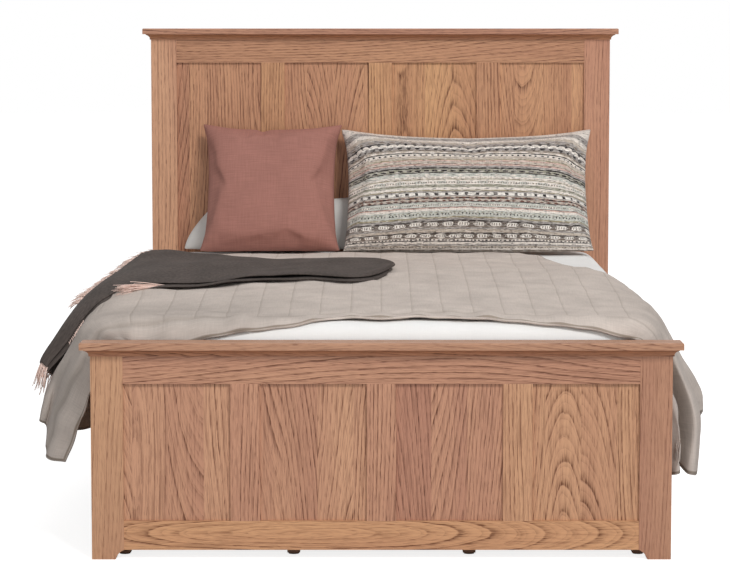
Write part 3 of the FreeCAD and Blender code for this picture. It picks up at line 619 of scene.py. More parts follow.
@dataclass(frozen=True)
class Quilting(Cloth):
    """Cloth stitched in a square grid behind a plain hem band. The front corners that hang down are plain
    too.
    Painted shade makes the drops and the hem's left half a little darker than the rest, and darkens the
    crease of the turned hem just inside the cloth's edges and the valley at the seam behind the hem band."""

    stitch: float = 0.0026
    cross: float = 0.2  # how strong the lines across are beside those along
    thread: RGB = (150, 137, 124)
    plain_from: float = 0.80
    line_dark: float = 0.30
    # painted shade: the crease of the turned hem, drawn as a dark line of thread colour just inside the
    # cloth's edges
    hem_crease_shade: float = 0.85
    # painted shade: the valley at the seam behind the hem band
    seam_valley_shade: float = 0.28
    # painted shade: how much darker the drops and the hem's left half are drawn
    painted_shade: float = 0.20

    def material(self, tree: bpy.types.NodeTree) -> Material:
        """Builds the finish: the distance to the nearest line of a square grid makes the stitched valleys.

        Args:
            tree: the group of the weave.

        Returns:
            The material.
        """
        made, net, shader, where, colour, weave = self.start(tree)
        u, v, _ = net.split(where)
        past, out = v - QUILT_BAND, abs(u)
        hanging = net.ramp(out, self.plain_from, self.plain_from - 0.05)
        inside = net.ramp(past, -0.002, 0.002) * net.math("MAXIMUM", hanging, net.ramp(v, 0.30, 0.45))
        from_along, from_cross = (net.math("PINGPONG", value, QUILT_CELL / 2) for value in (u, past))
        along = net.ramp(from_along, self.stitch, 0.3 * self.stitch)
        cross = net.ramp(from_cross, self.stitch, 0.3 * self.stitch) * self.cross
        line = net.math("MAXIMUM", along, cross) * inside
        border = net.read(net.node("ShaderNodeAttribute", attribute_name=BORDER).outputs["Fac"])
        # painted shade: a band a few millimetres in from every edge of the cloth stands for the crease of the
        # turned hem
        edge = net.ramp(border, 0.002, 0.004) * net.ramp(border, 0.011, 0.008)
        # painted shade: a dark band across the seam behind the hem band, where the cloth dips into a valley
        seam = net.ramp(past, -0.014, 0.002) * net.ramp(past, 0.024, 0.006)
        # the stitched lines are thread colour; the hem crease and the seam valley are painted shade
        dark = net.math("MAXIMUM", line * self.line_dark, edge * self.hem_crease_shade)
        dark = net.math("MAXIMUM", dark, seam * self.seam_valley_shade)
        # painted shade: the drops at the sides and the left half of the hem are drawn darker, as they lie
        # turned from the light
        left_hem_shade = net.ramp(u, -0.05, -0.50) * net.ramp(v, 0.55, 0.20)
        painted_shade = net.math("MAXIMUM", net.ramp(out, 0.68, 0.84), left_hem_shade)
        colour = net.shaded(net.mix(dark, colour, linear(self.thread)), 1.0 - painted_shade * self.painted_shade)
        net.put(shader.inputs["Base Color"], colour)
        valley = (net.ramp(from_cross, 0.0, 0.006) * self.cross + net.ramp(from_along, 0.0, 0.007)) * inside
        bump(net, shader, valley + weave * 1.3, 0.0012)
        return made


@dataclass(frozen=True)
class Row:
    """One woven row of the striped cloth, with its motif repeated along it."""

    centre: float
    half: float
    colour: RGB
    repeat: float = 0.0
    share: float = 0.5
    slope: float = 0.0
    shift: float = 0.0


@dataclass(frozen=True)
class Stripes(Cloth):
    """Cloth woven in horizontal stripes with rows of dashes, dots and points between them."""

    stripes: tuple = ()
    rows: tuple = ()
    height: float = 0.48
    width: float = 0.88
    bow: float = 0.08  # share of the height by which the rows droop at the sides
    fleck: float = 0.65
    pale: RGB = (246, 238, 230)
    deep: RGB = (62, 54, 52)
    stops: int = 28  # how many stripes one ramp takes

    def up(self, net: Net, where: Socket, u: Reading, v: Reading) -> Reading:
        """The place up the pattern, 0 to 1. The rows lie closer together where the face turns towards the
        seams, and droop by the cube of the way to a side.

        Args:
            net: the material's Net.
            where: flat coordinates.
            u: metres across.
            v: metres up.

        Returns:
            The place.
        """
        share = v / self.height
        side = abs(u * (2 / self.width) - 1.0)
        droop = side**3.0 * share * (6.75 * self.bow)
        low = net.math("MAXIMUM", 1.0 - share / 0.35, 0.0) ** 2.0
        bend = share * share * 0.25 + 0.24 + low * 0.85 + droop
        return share * (1.0 - share) * bend + share + (net.noise(where, 2.0, scale=14.0) - 0.5) * 0.008

    def banded(self, net: Net, up: Reading) -> Any:
        """Builds the stripes as stepped ramps up the cloth.

        Args:
            net: the material's nodes.
            up: the height on the cloth.

        Returns:
            The colour.
        """
        colour: Any = linear(self.stripes[0][1])
        for start in range(0, len(self.stripes), self.stops):
            part = self.stripes[start : start + self.stops]
            ramp = net.node("ShaderNodeValToRGB", {0: up})
            ramp.color_ramp.interpolation = "CONSTANT"
            stops = ramp.color_ramp.elements
            for i, (place, tint) in enumerate(part):
                stop = stops[i] if i < 2 else stops.new(place)
                stop.position, stop.color = place, linear(tint)
            colour = net.mix(up > part[0][0], colour, ramp.outputs[0])
        return colour

    def material(self, tree: bpy.types.NodeTree) -> Material:
        """Builds the finish. A row's motif is the part of each repeat whose distance from the repeat's middle
        is under its share, less the slope times the distance from the row's middle line, so a slope makes
        points and diamonds of dashes. Long thin noises add pale and deep flecks.

        Args:
            tree: the group of the weave.

        Returns:
            The material.
        """
        made, net, shader, where, _, weave = self.start(tree)
        u, v, _ = net.split(where)
        up = self.up(net, where, u, v)
        drift = u + (net.noise(where, 2.0, scale=22.0) - 0.5) * 0.02
        colour = self.banded(net, up)
        for row in self.rows:
            off = abs(up - row.centre)
            band = off < row.half
            if row.repeat:
                along = net.math("PINGPONG", drift + row.shift, row.repeat / 2)
                limit = (row.share - off / row.half * row.slope) * (row.repeat / 2)
                band = band * (along < limit)
            colour = net.mix(band, colour, linear(row.colour))
        pale = net.ramp(net.noise(net.pack(u * 42.0, v * 400.0), 1.0), 0.54, 0.64) * self.fleck
        deep = net.ramp(net.noise(net.pack(u * 60.0, v * 310.0, 5.0), 1.0), 0.56, 0.66) * self.fleck
        colour = net.mix(deep, net.mix(pale, colour, linear(self.pale)), linear(self.deep))
        shade = net.ramp(weave, 0.30, 0.70, 1 - 2.6 * self.slub, 1 + self.slub)
        net.put(shader.inputs["Base Color"], net.shaded(colour, shade))
        ribs = net.math("PINGPONG", v, 0.002) * 300.0
        bump(net, shader, ribs + weave, 0.0009)
        return made


# ----------------------------------------------------------- boards and base


@dataclass
class Boards:
    """Headboard and footboard: each board of oak gets its own cut of grain."""

    tree: bpy.types.NodeTree
    first_seed: float = 3.0
    seed_step: float = 1.7
    shades: tuple = (
        ((214, 170, 142), (112, 72, 52)),
        ((219, 176, 143), (116, 76, 52)),
        ((210, 164, 139), (108, 69, 51)),
    )
    low_rail: tuple = ((223, 178, 138), (120, 78, 50))
    moulding: tuple = ((198, 146, 112), (98, 60, 42))
    panel_cut: tuple = (0.1, 0.0090, 0.34, -0.17)  # stave, ring, spread and aside of the grain
    board_cut: tuple = (9.0, 0.0095, 0.07, 0.085)
    low_rail_cut: tuple = (9.0, 0.0095, 0.05, -0.02)

    def dress(self, nodes: dict) -> None:
        """Gives every oak node its finish.

        Args:
            nodes: the CAD nodes by name.
        """
        seed = self.first_seed
        for count, name in enumerate(sorted(nodes)):
            along = self.grain_of(name)
            if along is None:
                continue
            seed += self.seed_step
            (light, dark), cut = self.shades[(count * 7 // 3) % 3], self.board_cut
            if "panel" in name:
                cut = self.panel_cut
            elif name.endswith("bottom_rail"):
                (light, dark), cut = self.low_rail, self.low_rail_cut
            elif "cove" in name:
                light, dark = self.moulding
            light = tuple(min(255.0, c * k) for c, k in zip(light, self.gains(name)))
            middle = tuple(float(v) for v in np.array(nodes[name].bound_box).mean(0))
            depth = 0.7 if "post" in name else 1.0
            taper = 0.05 if "post" in name or "stile" in name else 0.09
            oak = Oak(name + "_oak", along, seed, light, dark, *cut, taper, depth, middle)
            paint(nodes[name], oak.material(self.tree))

    @staticmethod
    def gains(name: str) -> XYZ:
        """Tells a lighter board from a darker one.

        Args:
            name: an oak node.

        Returns:
            What its light colour is multiplied by, for red, green and blue.
        """
        gain = 1.03 if name.startswith("head_") else 0.985
        if name == "foot_cap":
            gain *= 0.93
        elif "cap" in name or name in ("head_top_rail", "foot_post_left", "foot_post_right"):
            gain *= 0.96
        warmer = 0.95 if name.startswith(("head_panel", "head_stile", "head_top_rail")) else 1.0
        return gain, gain, gain * warmer

    @staticmethod
    def grain_of(name: str) -> Optional[Grain]:
        """Tells the way the grain runs.

        Args:
            name: any node.

        Returns:
            The way for an oak node, or None for other nodes.
        """
        if name.startswith("side_rail"):
            return Grain.Y
        if not name.startswith(("head_", "foot_")) or name.endswith("dowels"):
            return None
        if name.endswith("cove_returns"):
            return Grain.Y
        return Grain.Z if any(w in name for w in ("post", "stile", "panel")) else Grain.X


@dataclass
class Base:
    """All under the mattress that isn't oak. A node gets the last finish whose word its name holds."""

    finishes: tuple = (
        (("dowels",), Plain("dowel_beech", (222, 190, 150), 0.55)),
        (("slats",), Plain("slat_pine", (226, 196, 150), 0.6, uneven=0.12, scale=9.0)),
        (("cleat_", "joist", "bearer"), Plain("base_pine", (206, 170, 122), 0.65, uneven=0.12, scale=9.0)),
        (("_legs_",), Plain("leg_wood", (122, 86, 64), 0.6, uneven=0.15, scale=14.0)),
        (("hook_plates",), Plain("plate_steel", (150, 150, 152), 0.38, 0.9)),
        (("screws",), Plain("screw_steel", (176, 172, 160), 0.32, 0.9)),
        (("glide",), Plain("glide_felt", (112, 82, 62), 0.95)),
        (("tapes",), Plain("slat_tape", (232, 230, 224), 0.85)),
    )

    def dress(self, nodes: dict) -> None:
        """Gives the nodes their finishes.

        Args:
            nodes: the CAD nodes by name.
        """
        for words, finish in self.finishes:
            material = finish.material()
            for name, obj in sorted(nodes.items()):
                if any(word in name for word in words):
                    paint(obj, material)


# ------------------------------------------------------------------ bedding


@dataclass
class BedSurface:
    """The shape of the bed top: it sinks a little towards the foot."""

    top_head: float = 0.697
    top_foot: float = 0.654
    foot: float = -1.0  # the sinking begins at the head and ends at the foot
    head: float = 0.1
    half_width: float = 0.7575  # the sheet's outline and the radius of its upper edge
    foot_end: float = -0.9845
    rounding: float = 0.057

    def drop(self, y: Array) -> Array:
        """How far the top lies under its height at the head, along the bed."""
        return (self.top_head - self.top_foot) * (1 - ease((y - self.foot) / (self.head - self.foot)))

    def top(self, y: Array) -> Array:
        """Height of the mattress top."""
        return self.top_head - self.drop(y)

    def cover(self, x: Array, y: Array) -> Array:
        """Height of the sheet, a quarter circle round its edge.

        Args:
            x: how far to the right.
            y: how far back.

        Returns:
            The height, and minus one beside the bed.
        """
        inset = np.minimum(self.half_width - np.abs(x), y - self.foot_end)
        turn = np.clip(self.rounding - inset, 0, self.rounding)
        return np.where(inset > 0, self.top(y) - self.rounding + np.sqrt(self.rounding**2 - turn**2), -1.0)


@dataclass
class Slab:
    """A rounded slab on an oblong outline, the mattress, or the same open below, the fitted sheet."""

    bed: BedSurface
    low: XYZ
    high: XYZ
    corner: float  # radius of the outline's corners
    edge: float  # radius of the upper edge, and twice that of the lower one
    floor: float
    closed: bool

    def outline(self) -> tuple[Array, Array]:
        """The outline as quarter arcs of the corner radius with straight runs between them.

        Returns:
            Points and outward normals, one row each.
        """
        (x0, y0, _), (x1, y1, _), r = self.low, self.high, self.corner
        points, turns = [], []
        hubs = np.array([(x1 - r, y0 + r), (x1 - r, y1 - r), (x0 + r, y1 - r), (x0 + r, y0 + r)])
        for i, hub in enumerate(hubs):
            a = (np.linspace(-0.5, 0.0, 9) + 0.5 * i) * math.pi
            n = np.stack([np.cos(a), np.sin(a)], -1)
            t = np.linspace(0, 1, 62)[1:-1, None]
            points += [hub + r * n, hub + t * (hubs[(i + 1) % 4] - hub) + r * n[-1]]
            turns += [n, np.repeat(n[-1:], len(t), 0)]
        return np.concatenate(points), np.concatenate(turns)

    def rows(self) -> tuple[Array, Array]:
        """The profile from the middle of the top outwards and down.

        Returns:
            Insets from the outline (from 1 on, 2 less the share of the way from the middle) and heights.
        """
        top, e = self.high[2], self.edge
        inner = np.linspace(0.0, 1.0, 34)[1:]
        arc = np.linspace(0, 0.5 * math.pi, 9)[1:]
        side = np.linspace(top - e, self.floor + (e * 0.5 if self.closed else 0), 14)[1:]
        inset = [2 - inner, e * (1 - np.sin(arc)), np.zeros(len(side))]
        height = [np.full(len(inner), top), top - e * (1 - np.cos(arc)), side]
        if self.closed:
            low = np.linspace(0, 0.5 * math.pi, 6)[1:]
            inset += [0.5 * e * (1 - np.cos(low)), np.linspace(1, 2, 8)[1:-1]]
            height += [self.floor + 0.5 * e * (1 - np.sin(low)), np.full(6, self.floor)]
        return np.concatenate(inset), np.concatenate(height)

    def points(self) -> tuple[Array, Array]:
        """All points: the outline moved in along its normal, or drawn towards the middle.

        Returns:
            A grid of points, rows down the profile by columns round the outline, and the flat coordinates.
        """
        line, normal = self.outline()
        inset, height = self.rows()
        near = np.where(inset < 1, inset, np.where(height <= self.floor + 1e-9, 0.5, 1.0) * self.edge)
        share = np.where(inset < 1, 1.0, 2 - inset)
        middle = (np.array(self.low[:2]) + np.array(self.high[:2])) / 2
        flat = line[None] - normal[None] * near[:, None, None]
        flat = middle + (flat - middle) * share[:, None, None]
        z = np.repeat(height[:, None], flat.shape[1], 1)
        sink = ease((z - self.floor) / (self.high[2] - self.floor)) * self.bed.drop(flat[..., 1])
        puff = 0.0012 * waves(flat[..., 0], flat[..., 1] + z, 5, (0.5, 0.21, 0.09))
        z = z - sink + np.where(z > self.floor + 0.02, puff, 0)
        run = np.concatenate([[0], np.cumsum(np.abs(np.diff(height)) + 1e-6)])
        return np.concatenate([flat, z[..., None]], -1), flat + normal[None] * run[:, None, None]

    def mesh(self, name: str) -> Piece:
        """Builds the slab, with a fan in the middle of the top and of the underside.

        Args:
            name: its name.

        Returns:
            The piece.
        """
        grid, uv = self.points()
        rows, cols = grid.shape[:2]
        index = np.arange(rows * cols).reshape(rows, cols)
        index = np.concatenate([index, index[:, :1]], 1)
        faces, ends = [quads(index, flip=True)], [0, rows - 1][: 1 + self.closed]
        for i, row in enumerate(ends):
            ring = index[row][::-1] if i else index[row]
            hub = np.full(cols // 2, rows * cols + i)
            faces.append(np.stack([ring[:-2:2], ring[1:-1:2], ring[2::2], hub], -1))
        points, flat = (np.concatenate([a.reshape(-1, a.shape[-1]), a[ends].mean(1)]) for a in (grid, uv))
        return make(name, points, np.concatenate(faces), flat)


@dataclass
class Mattress:
    """Mattress and fitted sheet."""

    bed: BedSurface
    low: XYZ = (-0.755, -0.982, 0.3735)
    high: XYZ = (0.755, 1.028, 0.6945)
    gap: float = 0.0025  # between the mattress and its sheet
    hem: float = 0.43  # height of the sheet's lower edge

    def build(self, cover: Material, cotton: Material) -> None:
        """Builds both pieces.

        Args:
            cover: the mattress's finish.
            cotton: the sheet's finish.
        """
        pad = Slab(self.bed, self.low, self.high, 0.075, 0.055, self.low[2], True).mesh("mattress_pad")
        finish_piece(pad, "mattress", cover)
        low, high = tuple(v - self.gap for v in self.low), tuple(v + self.gap for v in self.high)
        sheet = Slab(self.bed, low, high, 0.077, 0.057, self.hem, False).mesh("sheet_cloth")
        thicken(sheet, 0.0008)
        finish_piece(sheet, "fitted_sheet", cotton)


@dataclass(frozen=True)
class Drop:
    """One hanging side of the quilt: stations that follow the photograph at the foot, then even folds.

    A station is w, then x, y and z of four points down the side.
    """

    side: float  # 1 for the right side and −1 for the left
    seed: int  # of the folds' unevenness
    near: float  # how far out the upper point of a fold lies
    bulge: float  # how much more that is beside the middle of the bed
    narrowing: float  # and how much less towards the head
    rise: float  # how much higher the upper points lie towards the head
    bottom: float  # height of the lower edge
    stations: tuple
    high: float = 0.663
    out: float = 0.040  # how far every other fold swings out, and the ones between them in
    back_in: float = -0.048
    gap: float = 0.12  # metres from the last station to the first fold
    spacing: float = 0.115
    last: float = 1.9

    def folds(self, edge_y: float) -> tuple[list, Array]:
        """Adds the even folds behind the stations.

        Args:
            edge_y: where w is 0.

        Returns:
            The stations' places along w and their points.
        """
        rng = np.random.default_rng(self.seed)
        places, points = [row[0] for row in self.stations], [row[1:] for row in self.stations]
        w, outwards = places[-1] + self.gap, False
        while w < self.last:
            reach = (self.out if outwards else self.back_in) + rng.uniform(-0.008, 0.008)
            reach *= min(1.0, (w - 0.25) / 0.5)
            puffed = self.near + self.bulge * math.exp(-(((w - 0.62) / 0.22) ** 2))
            puffed -= self.narrowing * ease((w - 0.9) / 0.5)
            bottom = self.bottom + rng.uniform(-0.004, 0.006)
            steps = (0.0, 0.045 + 0.4 * reach, 0.065 + 0.8 * reach, 0.070 + reach)
            heights = (self.high + self.rise * ease((w - 0.3) / 0.6), 0.54, 0.39, bottom)
            points.append([(self.side * (puffed + step), edge_y + w, z) for step, z in zip(steps, heights)])
            places.append(w)
            w, outwards = w + self.spacing + rng.uniform(-0.02, 0.025), not outwards
        return places, np.array(points)


RIGHT_DROP = Drop(1.0, 11, 0.783, 0.018, 0.0, -0.012, 0.240, (
    (-0.14, (0.728, -0.993, 0.605), (0.778, -0.996, 0.50), (0.806, -0.997, 0.36), (0.812, -0.990, 0.224)),
    (-0.07, (0.752, -0.975, 0.628), (0.808, -0.996, 0.50), (0.840, -1.004, 0.36), (0.838, -1.000, 0.236)),
    (-0.01, (0.768, -0.940, 0.640), (0.822, -0.905, 0.51), (0.828, -0.865, 0.37), (0.834, -0.870, 0.262)),
    (0.05, (0.774, -0.885, 0.648), (0.842, -0.930, 0.52), (0.884, -0.965, 0.38), (0.872, -0.970, 0.224)),
    (0.11, (0.776, -0.820, 0.652), (0.850, -0.850, 0.53), (0.905, -0.885, 0.39), (0.897, -0.890, 0.236)),
    (0.16, (0.778, -0.770, 0.655), (0.853, -0.790, 0.535), (0.895, -0.812, 0.41), (0.886, -0.815, 0.350)),
    (0.21, (0.780, -0.720, 0.657), (0.858, -0.730, 0.54), (0.922, -0.735, 0.43), (0.930, -0.740, 0.372)),
    (0.31, (0.784, -0.610, 0.662), (0.850, -0.620, 0.54), (0.885, -0.630, 0.40), (0.880, -0.630, 0.262)),
))
LEFT_DROP = Drop(-1.0, 23, 0.826, 0.0, 0.04, 0.014, 0.285, (
    (-0.14, (-0.735, -0.993, 0.606), (-0.800, -0.988, 0.50), (-0.852, -0.965, 0.37), (-0.900, -0.930, 0.252)),
    (-0.06, (-0.785, -0.968, 0.632), (-0.850, -0.950, 0.53), (-0.920, -0.918, 0.40), (-0.957, -0.885, 0.262)),
    (0.02, (-0.812, -0.905, 0.645), (-0.880, -0.880, 0.55), (-0.938, -0.800, 0.42), (-0.968, -0.770, 0.322)),
    (0.12, (-0.824, -0.805, 0.652), (-0.900, -0.800, 0.55), (-0.955, -0.780, 0.44), (-0.985, -0.770, 0.345)),
    (0.24, (-0.828, -0.690, 0.657), (-0.905, -0.690, 0.55), (-0.955, -0.700, 0.43), (-0.975, -0.700, 0.335)),
    (0.38, (-0.828, -0.550, 0.662), (-0.885, -0.550, 0.56), (-0.900, -0.560, 0.40), (-0.900, -0.570, 0.290)),
))


@dataclass
class QuiltShape:
    """The quilt over two flat coordinates: u across from the middle and w along from the foot edge.

    Between the shoulders it lies on the bed and falls over the rounded foot edge. Past a shoulder a row of
    the surface is a smooth curve through five points, and each point moves along w on a smooth curve through
    the stations of its drop. `hem` and `end` hold pairs of u and w, where the cloth begins and ends.
    """

    bed: BedSurface
    drops: tuple = (RIGHT_DROP, LEFT_DROP)
    shoulder: float = 0.66
    side: float = 0.56
    edge_y: float = -0.925
    edge_radius: float = 0.070
    lift: float = 0.010
    spans: tuple = (-0.18, 0.0, 0.24, 0.50, 0.76, 1.0)
    hem: tuple = (
        (-1.22, -0.14), (-0.66, -0.135), (-0.469, -0.088), (-0.368, -0.071), (-0.229, -0.046),
        (-0.103, 0.004), (0.0, -0.022), (0.096, 0.004), (0.222, -0.015), (0.333, -0.028), (0.50, -0.055),
        (0.613, -0.074), (0.70, -0.10), (0.8, -0.14), (1.22, -0.14),
    )
    end: tuple = (
        (-1.22, 1.60), (-0.7, 1.625), (0.40, 1.63), (0.48, 1.60), (0.55, 1.44), (0.61, 1.20), (0.70, 1.00),
        (0.80, 0.88), (0.95, 0.74), (1.22, 0.60),
    )

    def at(self, u: Array, w: Array) -> Array:
        """The surface.

        Args:
            u: metres across the cloth from its middle.
            w: metres along the cloth from the foot edge of the bed.

        Returns:
            Points, with x, y and z on the last axis.
        """
        over = np.clip(-w / self.edge_radius, 0, 0.5 * math.pi)
        hang = np.clip(-w - 0.5 * math.pi * self.edge_radius, 0, None)
        y = self.edge_y + np.clip(w, 0, None)
        z = self.bed.top(y) + self.lift - self.edge_radius * (1 - np.cos(over)) - hang
        across = np.clip(u, -self.shoulder, self.shoulder)
        flat = np.stack([across, y - self.edge_radius * np.sin(over), z], -1)
        past = np.clip((np.abs(u) - self.shoulder) / self.side, 0, 1)
        result = flat
        for drop in self.drops:
            places, points = drop.folds(self.edge_y)
            rows = curve(places, points, np.clip(w, places[0], places[-1]))
            start = flat * [0, 1, 1] + np.array([drop.side * self.shoulder, 0, 0])
            before = start - np.array([drop.side * 0.10, 0, 0])
            control = np.concatenate([before[..., None, :], start[..., None, :], rows], -2)
            beside = (np.sign(u) == drop.side) & (past > 0)
            result = np.where(beside[..., None], curve(self.spans, control, past, own=True), result)
        return result


@dataclass
class Quilt:
    """The quilted cover."""

    shape: QuiltShape
    columns: int = 232
    rows: int = 172
    thickness: float = 0.006
    clearance: float = 0.003
    puff: float = 0.0014  # how far a cell rises
    pleats: float = 0.008  # height of the hem's upright pleats and depth of the valley behind the hem
    valley: float = 0.006

    def build(self, finish: Material) -> None:
        """Builds the cover: the shape, raised in each stitched cell by the root of a sine across times a
        weaker one along, with soft upright pleats in the hem band, and kept over the sheet by a smooth
        maximum.

        Args:
            finish: its material.
        """
        s = self.shape
        u = np.linspace(-s.shoulder - s.side, s.shoulder + s.side, self.columns)[None, :]
        v = np.linspace(0, 1, self.rows)[:, None]
        hem, end = (curve(*np.transpose(pairs), u) for pairs in (s.hem, s.end))
        w = hem + v * (end - hem)
        u = np.broadcast_to(u, w.shape)
        flat = np.stack([u, w - hem], -1)
        points = s.at(u, w)
        past = flat[..., 1] - QUILT_BAND
        across, along = (np.abs(np.sin(math.pi * a / QUILT_CELL)) for a in (u, past))
        puff = self.puff * np.sqrt(across * (0.88 + 0.12 * along)) * ease(past / 0.03)
        pleat = self.pleats * waves(u, 0 * u, 31, (0.17, 0.10, 0.06)) * ease(1 - past / 0.05)
        dip = past - 0.006 - 0.012 * waves(u, 0 * u, 17, (0.9, 0.4))
        pleat -= self.valley * np.exp(-((dip / 0.013) ** 2))
        loose = 0.005 * waves(u, 1.4 * w, 8, (0.62, 0.31))
        loose += 0.0022 * waves(0.5 * u, 1.6 * w, 12, (0.14, 0.08))
        raised = puff + pleat * (flat[..., 1] > 0) + loose + self.clearance
        points = points + normals(points) * raised[..., None]
        short = s.bed.cover(points[..., 0], points[..., 1]) + self.thickness + self.clearance - points[..., 2]
        points[..., 2] += 0.5 * (short + np.sqrt(short**2 + 0.004**2))
        index = np.arange(w.size).reshape(w.shape)
        obj = make("quilt_cloth", points.reshape(-1, 3), quads(index), flat.reshape(-1, 2))
        border = np.minimum(np.minimum(w - hem, end - w), s.shoulder + s.side - np.abs(u))
        layer = obj.data.attributes.new(BORDER, "FLOAT", "POINT")
        layer.data.foreach_set("value", border.astype(np.float32).ravel())
        thicken(obj, self.thickness, -1.0)
        finish_piece(obj, "quilt", finish)


@dataclass(frozen=True)
class YarnRun:
    """Yarn ends on the throw, from the first to the last share of its length and of its width."""

    along: tuple[float, float]
    across: tuple[float, float]
    count: int
    way: XYZ
    length: float


@dataclass
class Throw:
    """The dark throw, folded in layers, laid on the quilt and hanging at the left, with its yarn fringe.

    A station is a share of the length, then five points from the front edge to the back edge. Those of the
    front are read from the photograph. The fringe's runs are the outer edge over the shoulder, a bunch that
    comes out from under the front edge, a short one lower down, and the hanging end.
    """

    stations: tuple = (
        (0.0, (0.040, 0.020, 0.724), (0.044, 0.050, 0.724), (0.046, 0.080, 0.724),
         (0.044, 0.110, 0.724), (0.040, 0.140, 0.724)),
        (0.05, (-0.005, -0.170, 0.718), (0.000, -0.060, 0.722), (0.003, 0.060, 0.724),
         (0.000, 0.170, 0.724), (-0.005, 0.260, 0.724)),
        (0.26, (-0.240, -0.215, 0.716), (-0.242, -0.090, 0.721), (-0.245, 0.040, 0.724),
         (-0.248, 0.170, 0.724), (-0.250, 0.295, 0.724)),
        (0.43, (-0.410, -0.260, 0.714), (-0.415, -0.110, 0.720), (-0.420, 0.050, 0.724),
         (-0.425, 0.200, 0.724), (-0.430, 0.345, 0.724)),
        (0.58, (-0.560, -0.355, 0.709), (-0.570, -0.150, 0.719), (-0.580, 0.050, 0.724),
         (-0.585, 0.250, 0.724), (-0.590, 0.440, 0.728)),
        (0.68, (-0.675, -0.385, 0.707), (-0.695, -0.160, 0.718), (-0.710, 0.080, 0.724),
         (-0.722, 0.320, 0.726), (-0.732, 0.550, 0.730)),
        (0.76, (-0.750, -0.395, 0.700), (-0.785, -0.230, 0.707), (-0.808, 0.000, 0.709),
         (-0.815, 0.240, 0.708), (-0.815, 0.480, 0.706)),
        (0.82, (-0.812, -0.430, 0.680), (-0.850, -0.300, 0.686), (-0.874, -0.120, 0.678),
         (-0.888, 0.090, 0.645), (-0.890, 0.350, 0.605)),
        (0.88, (-0.850, -0.495, 0.658), (-0.892, -0.390, 0.658), (-0.918, -0.260, 0.630),
         (-0.926, -0.060, 0.575), (-0.920, 0.210, 0.525)),
        (0.93, (-0.886, -0.585, 0.610), (-0.922, -0.535, 0.614), (-0.945, -0.440, 0.575),
         (-0.948, -0.250, 0.515), (-0.936, 0.050, 0.470)),
        (0.97, (-0.920, -0.685, 0.555), (-0.953, -0.650, 0.562), (-0.965, -0.580, 0.535),
         (-0.960, -0.410, 0.470), (-0.946, -0.110, 0.425)),
        (1.0, (-0.968, -0.770, 0.498), (-0.986, -0.745, 0.512), (-0.982, -0.700, 0.495),
         (-0.967, -0.530, 0.440), (-0.951, -0.240, 0.395)),
    )
    spans: tuple = (0.0, 0.25, 0.5, 0.75, 1.0)
    layer: float = 0.0105
    grid: tuple[int, int] = (64, 130)
    runs: tuple = (
        YarnRun((0.70, 0.88), (0.98, 0.45), 260, (-0.85, -0.20, 0.22), 0.048),
        YarnRun((0.655, 0.69), (0.0, 0.0), 120, (-1.0, -0.50, -0.03), 0.125),
        YarnRun((0.925, 0.965), (0.0, 0.0), 14, (0.15, -0.2, -1.0), 0.035),
        YarnRun((0.999, 0.999), (0.0, 1.0), 72, (-0.35, -0.15, -0.9), 0.050),
    )
    long_yarn: float = 0.07  # yarns of a longer run than this hang as a bunch
    yarn_radius: float = 0.0016

    def lay(self, s: Array, r: Array) -> Array:
        """The middle surface: a smooth curve through five points, which move along the stations."""
        places, points = [row[0] for row in self.stations], np.array([row[1:] for row in self.stations])
        return curve(self.spans, curve(places, points, s), r, own=True)

    def fold(self, start: float, lift: float, reach: float, back: float, seed: int) -> Shell:
        """One flattened fold: a top and an underside that meet in round edges.

        Args:
            start: share of the length where it begins.
            lift: how far its middle lies over the middle surface.
            reach: how much farther forward its front edge lies, as a share of the width.
            back: how much it stops short of the back edge.
            seed: seed of its ripples.

        Returns:
            Points, faces and flat coordinates.
        """
        r, s = (0.5 - 0.5 * np.cos(math.pi * np.linspace(0, 1, count)) for count in self.grid)
        s, r = np.broadcast_arrays(start + (1 - start) * s[None, :], r[:, None])
        edges = (1 - np.abs(2 * r - 1) ** 12) ** 0.5
        ends = np.sqrt(np.clip(1 - (1 - np.clip(np.minimum(s - start, 1 - s) / 0.02, 0, 1)) ** 2, 0, 1))
        half = 0.5 * self.layer * np.clip(edges * ends, 0, None)
        ripple = 0.0035 * waves(s * 1.6, r * 0.7, seed, (0.45, 0.2)) + 0.002 * np.sin(9 * r + 7 * s)
        middle = self.lay(s, r * (1 + reach - back) - reach)
        outward = -normals(middle)
        top, under = (middle + outward * (lift + ripple * ends + h)[..., None] for h in (half, -half))
        return two_sided(top, under, np.stack([s * 1.5, r * 0.6], -1))

    def build(self, finish: Material, yarn: Material) -> None:
        """Builds the throw and its fringe.

        Args:
            finish: the throw's material.
            yarn: the fringe's material.
        """
        half = 0.52 * self.layer
        lower, upper = self.fold(0.02, -half, 0.03, 0.04, 186), self.fold(0.0, half, 0.0, 0.0, 295)
        points, faces, flat = (np.concatenate(both) for both in zip(lower, upper))
        faces[len(lower[1]) :] += len(lower[0])
        obj = finish_piece(make("throw_cloth", points, faces, flat), "throw", finish)
        fringe = finish_piece(self.fringe(), "throw_fringe", yarn)

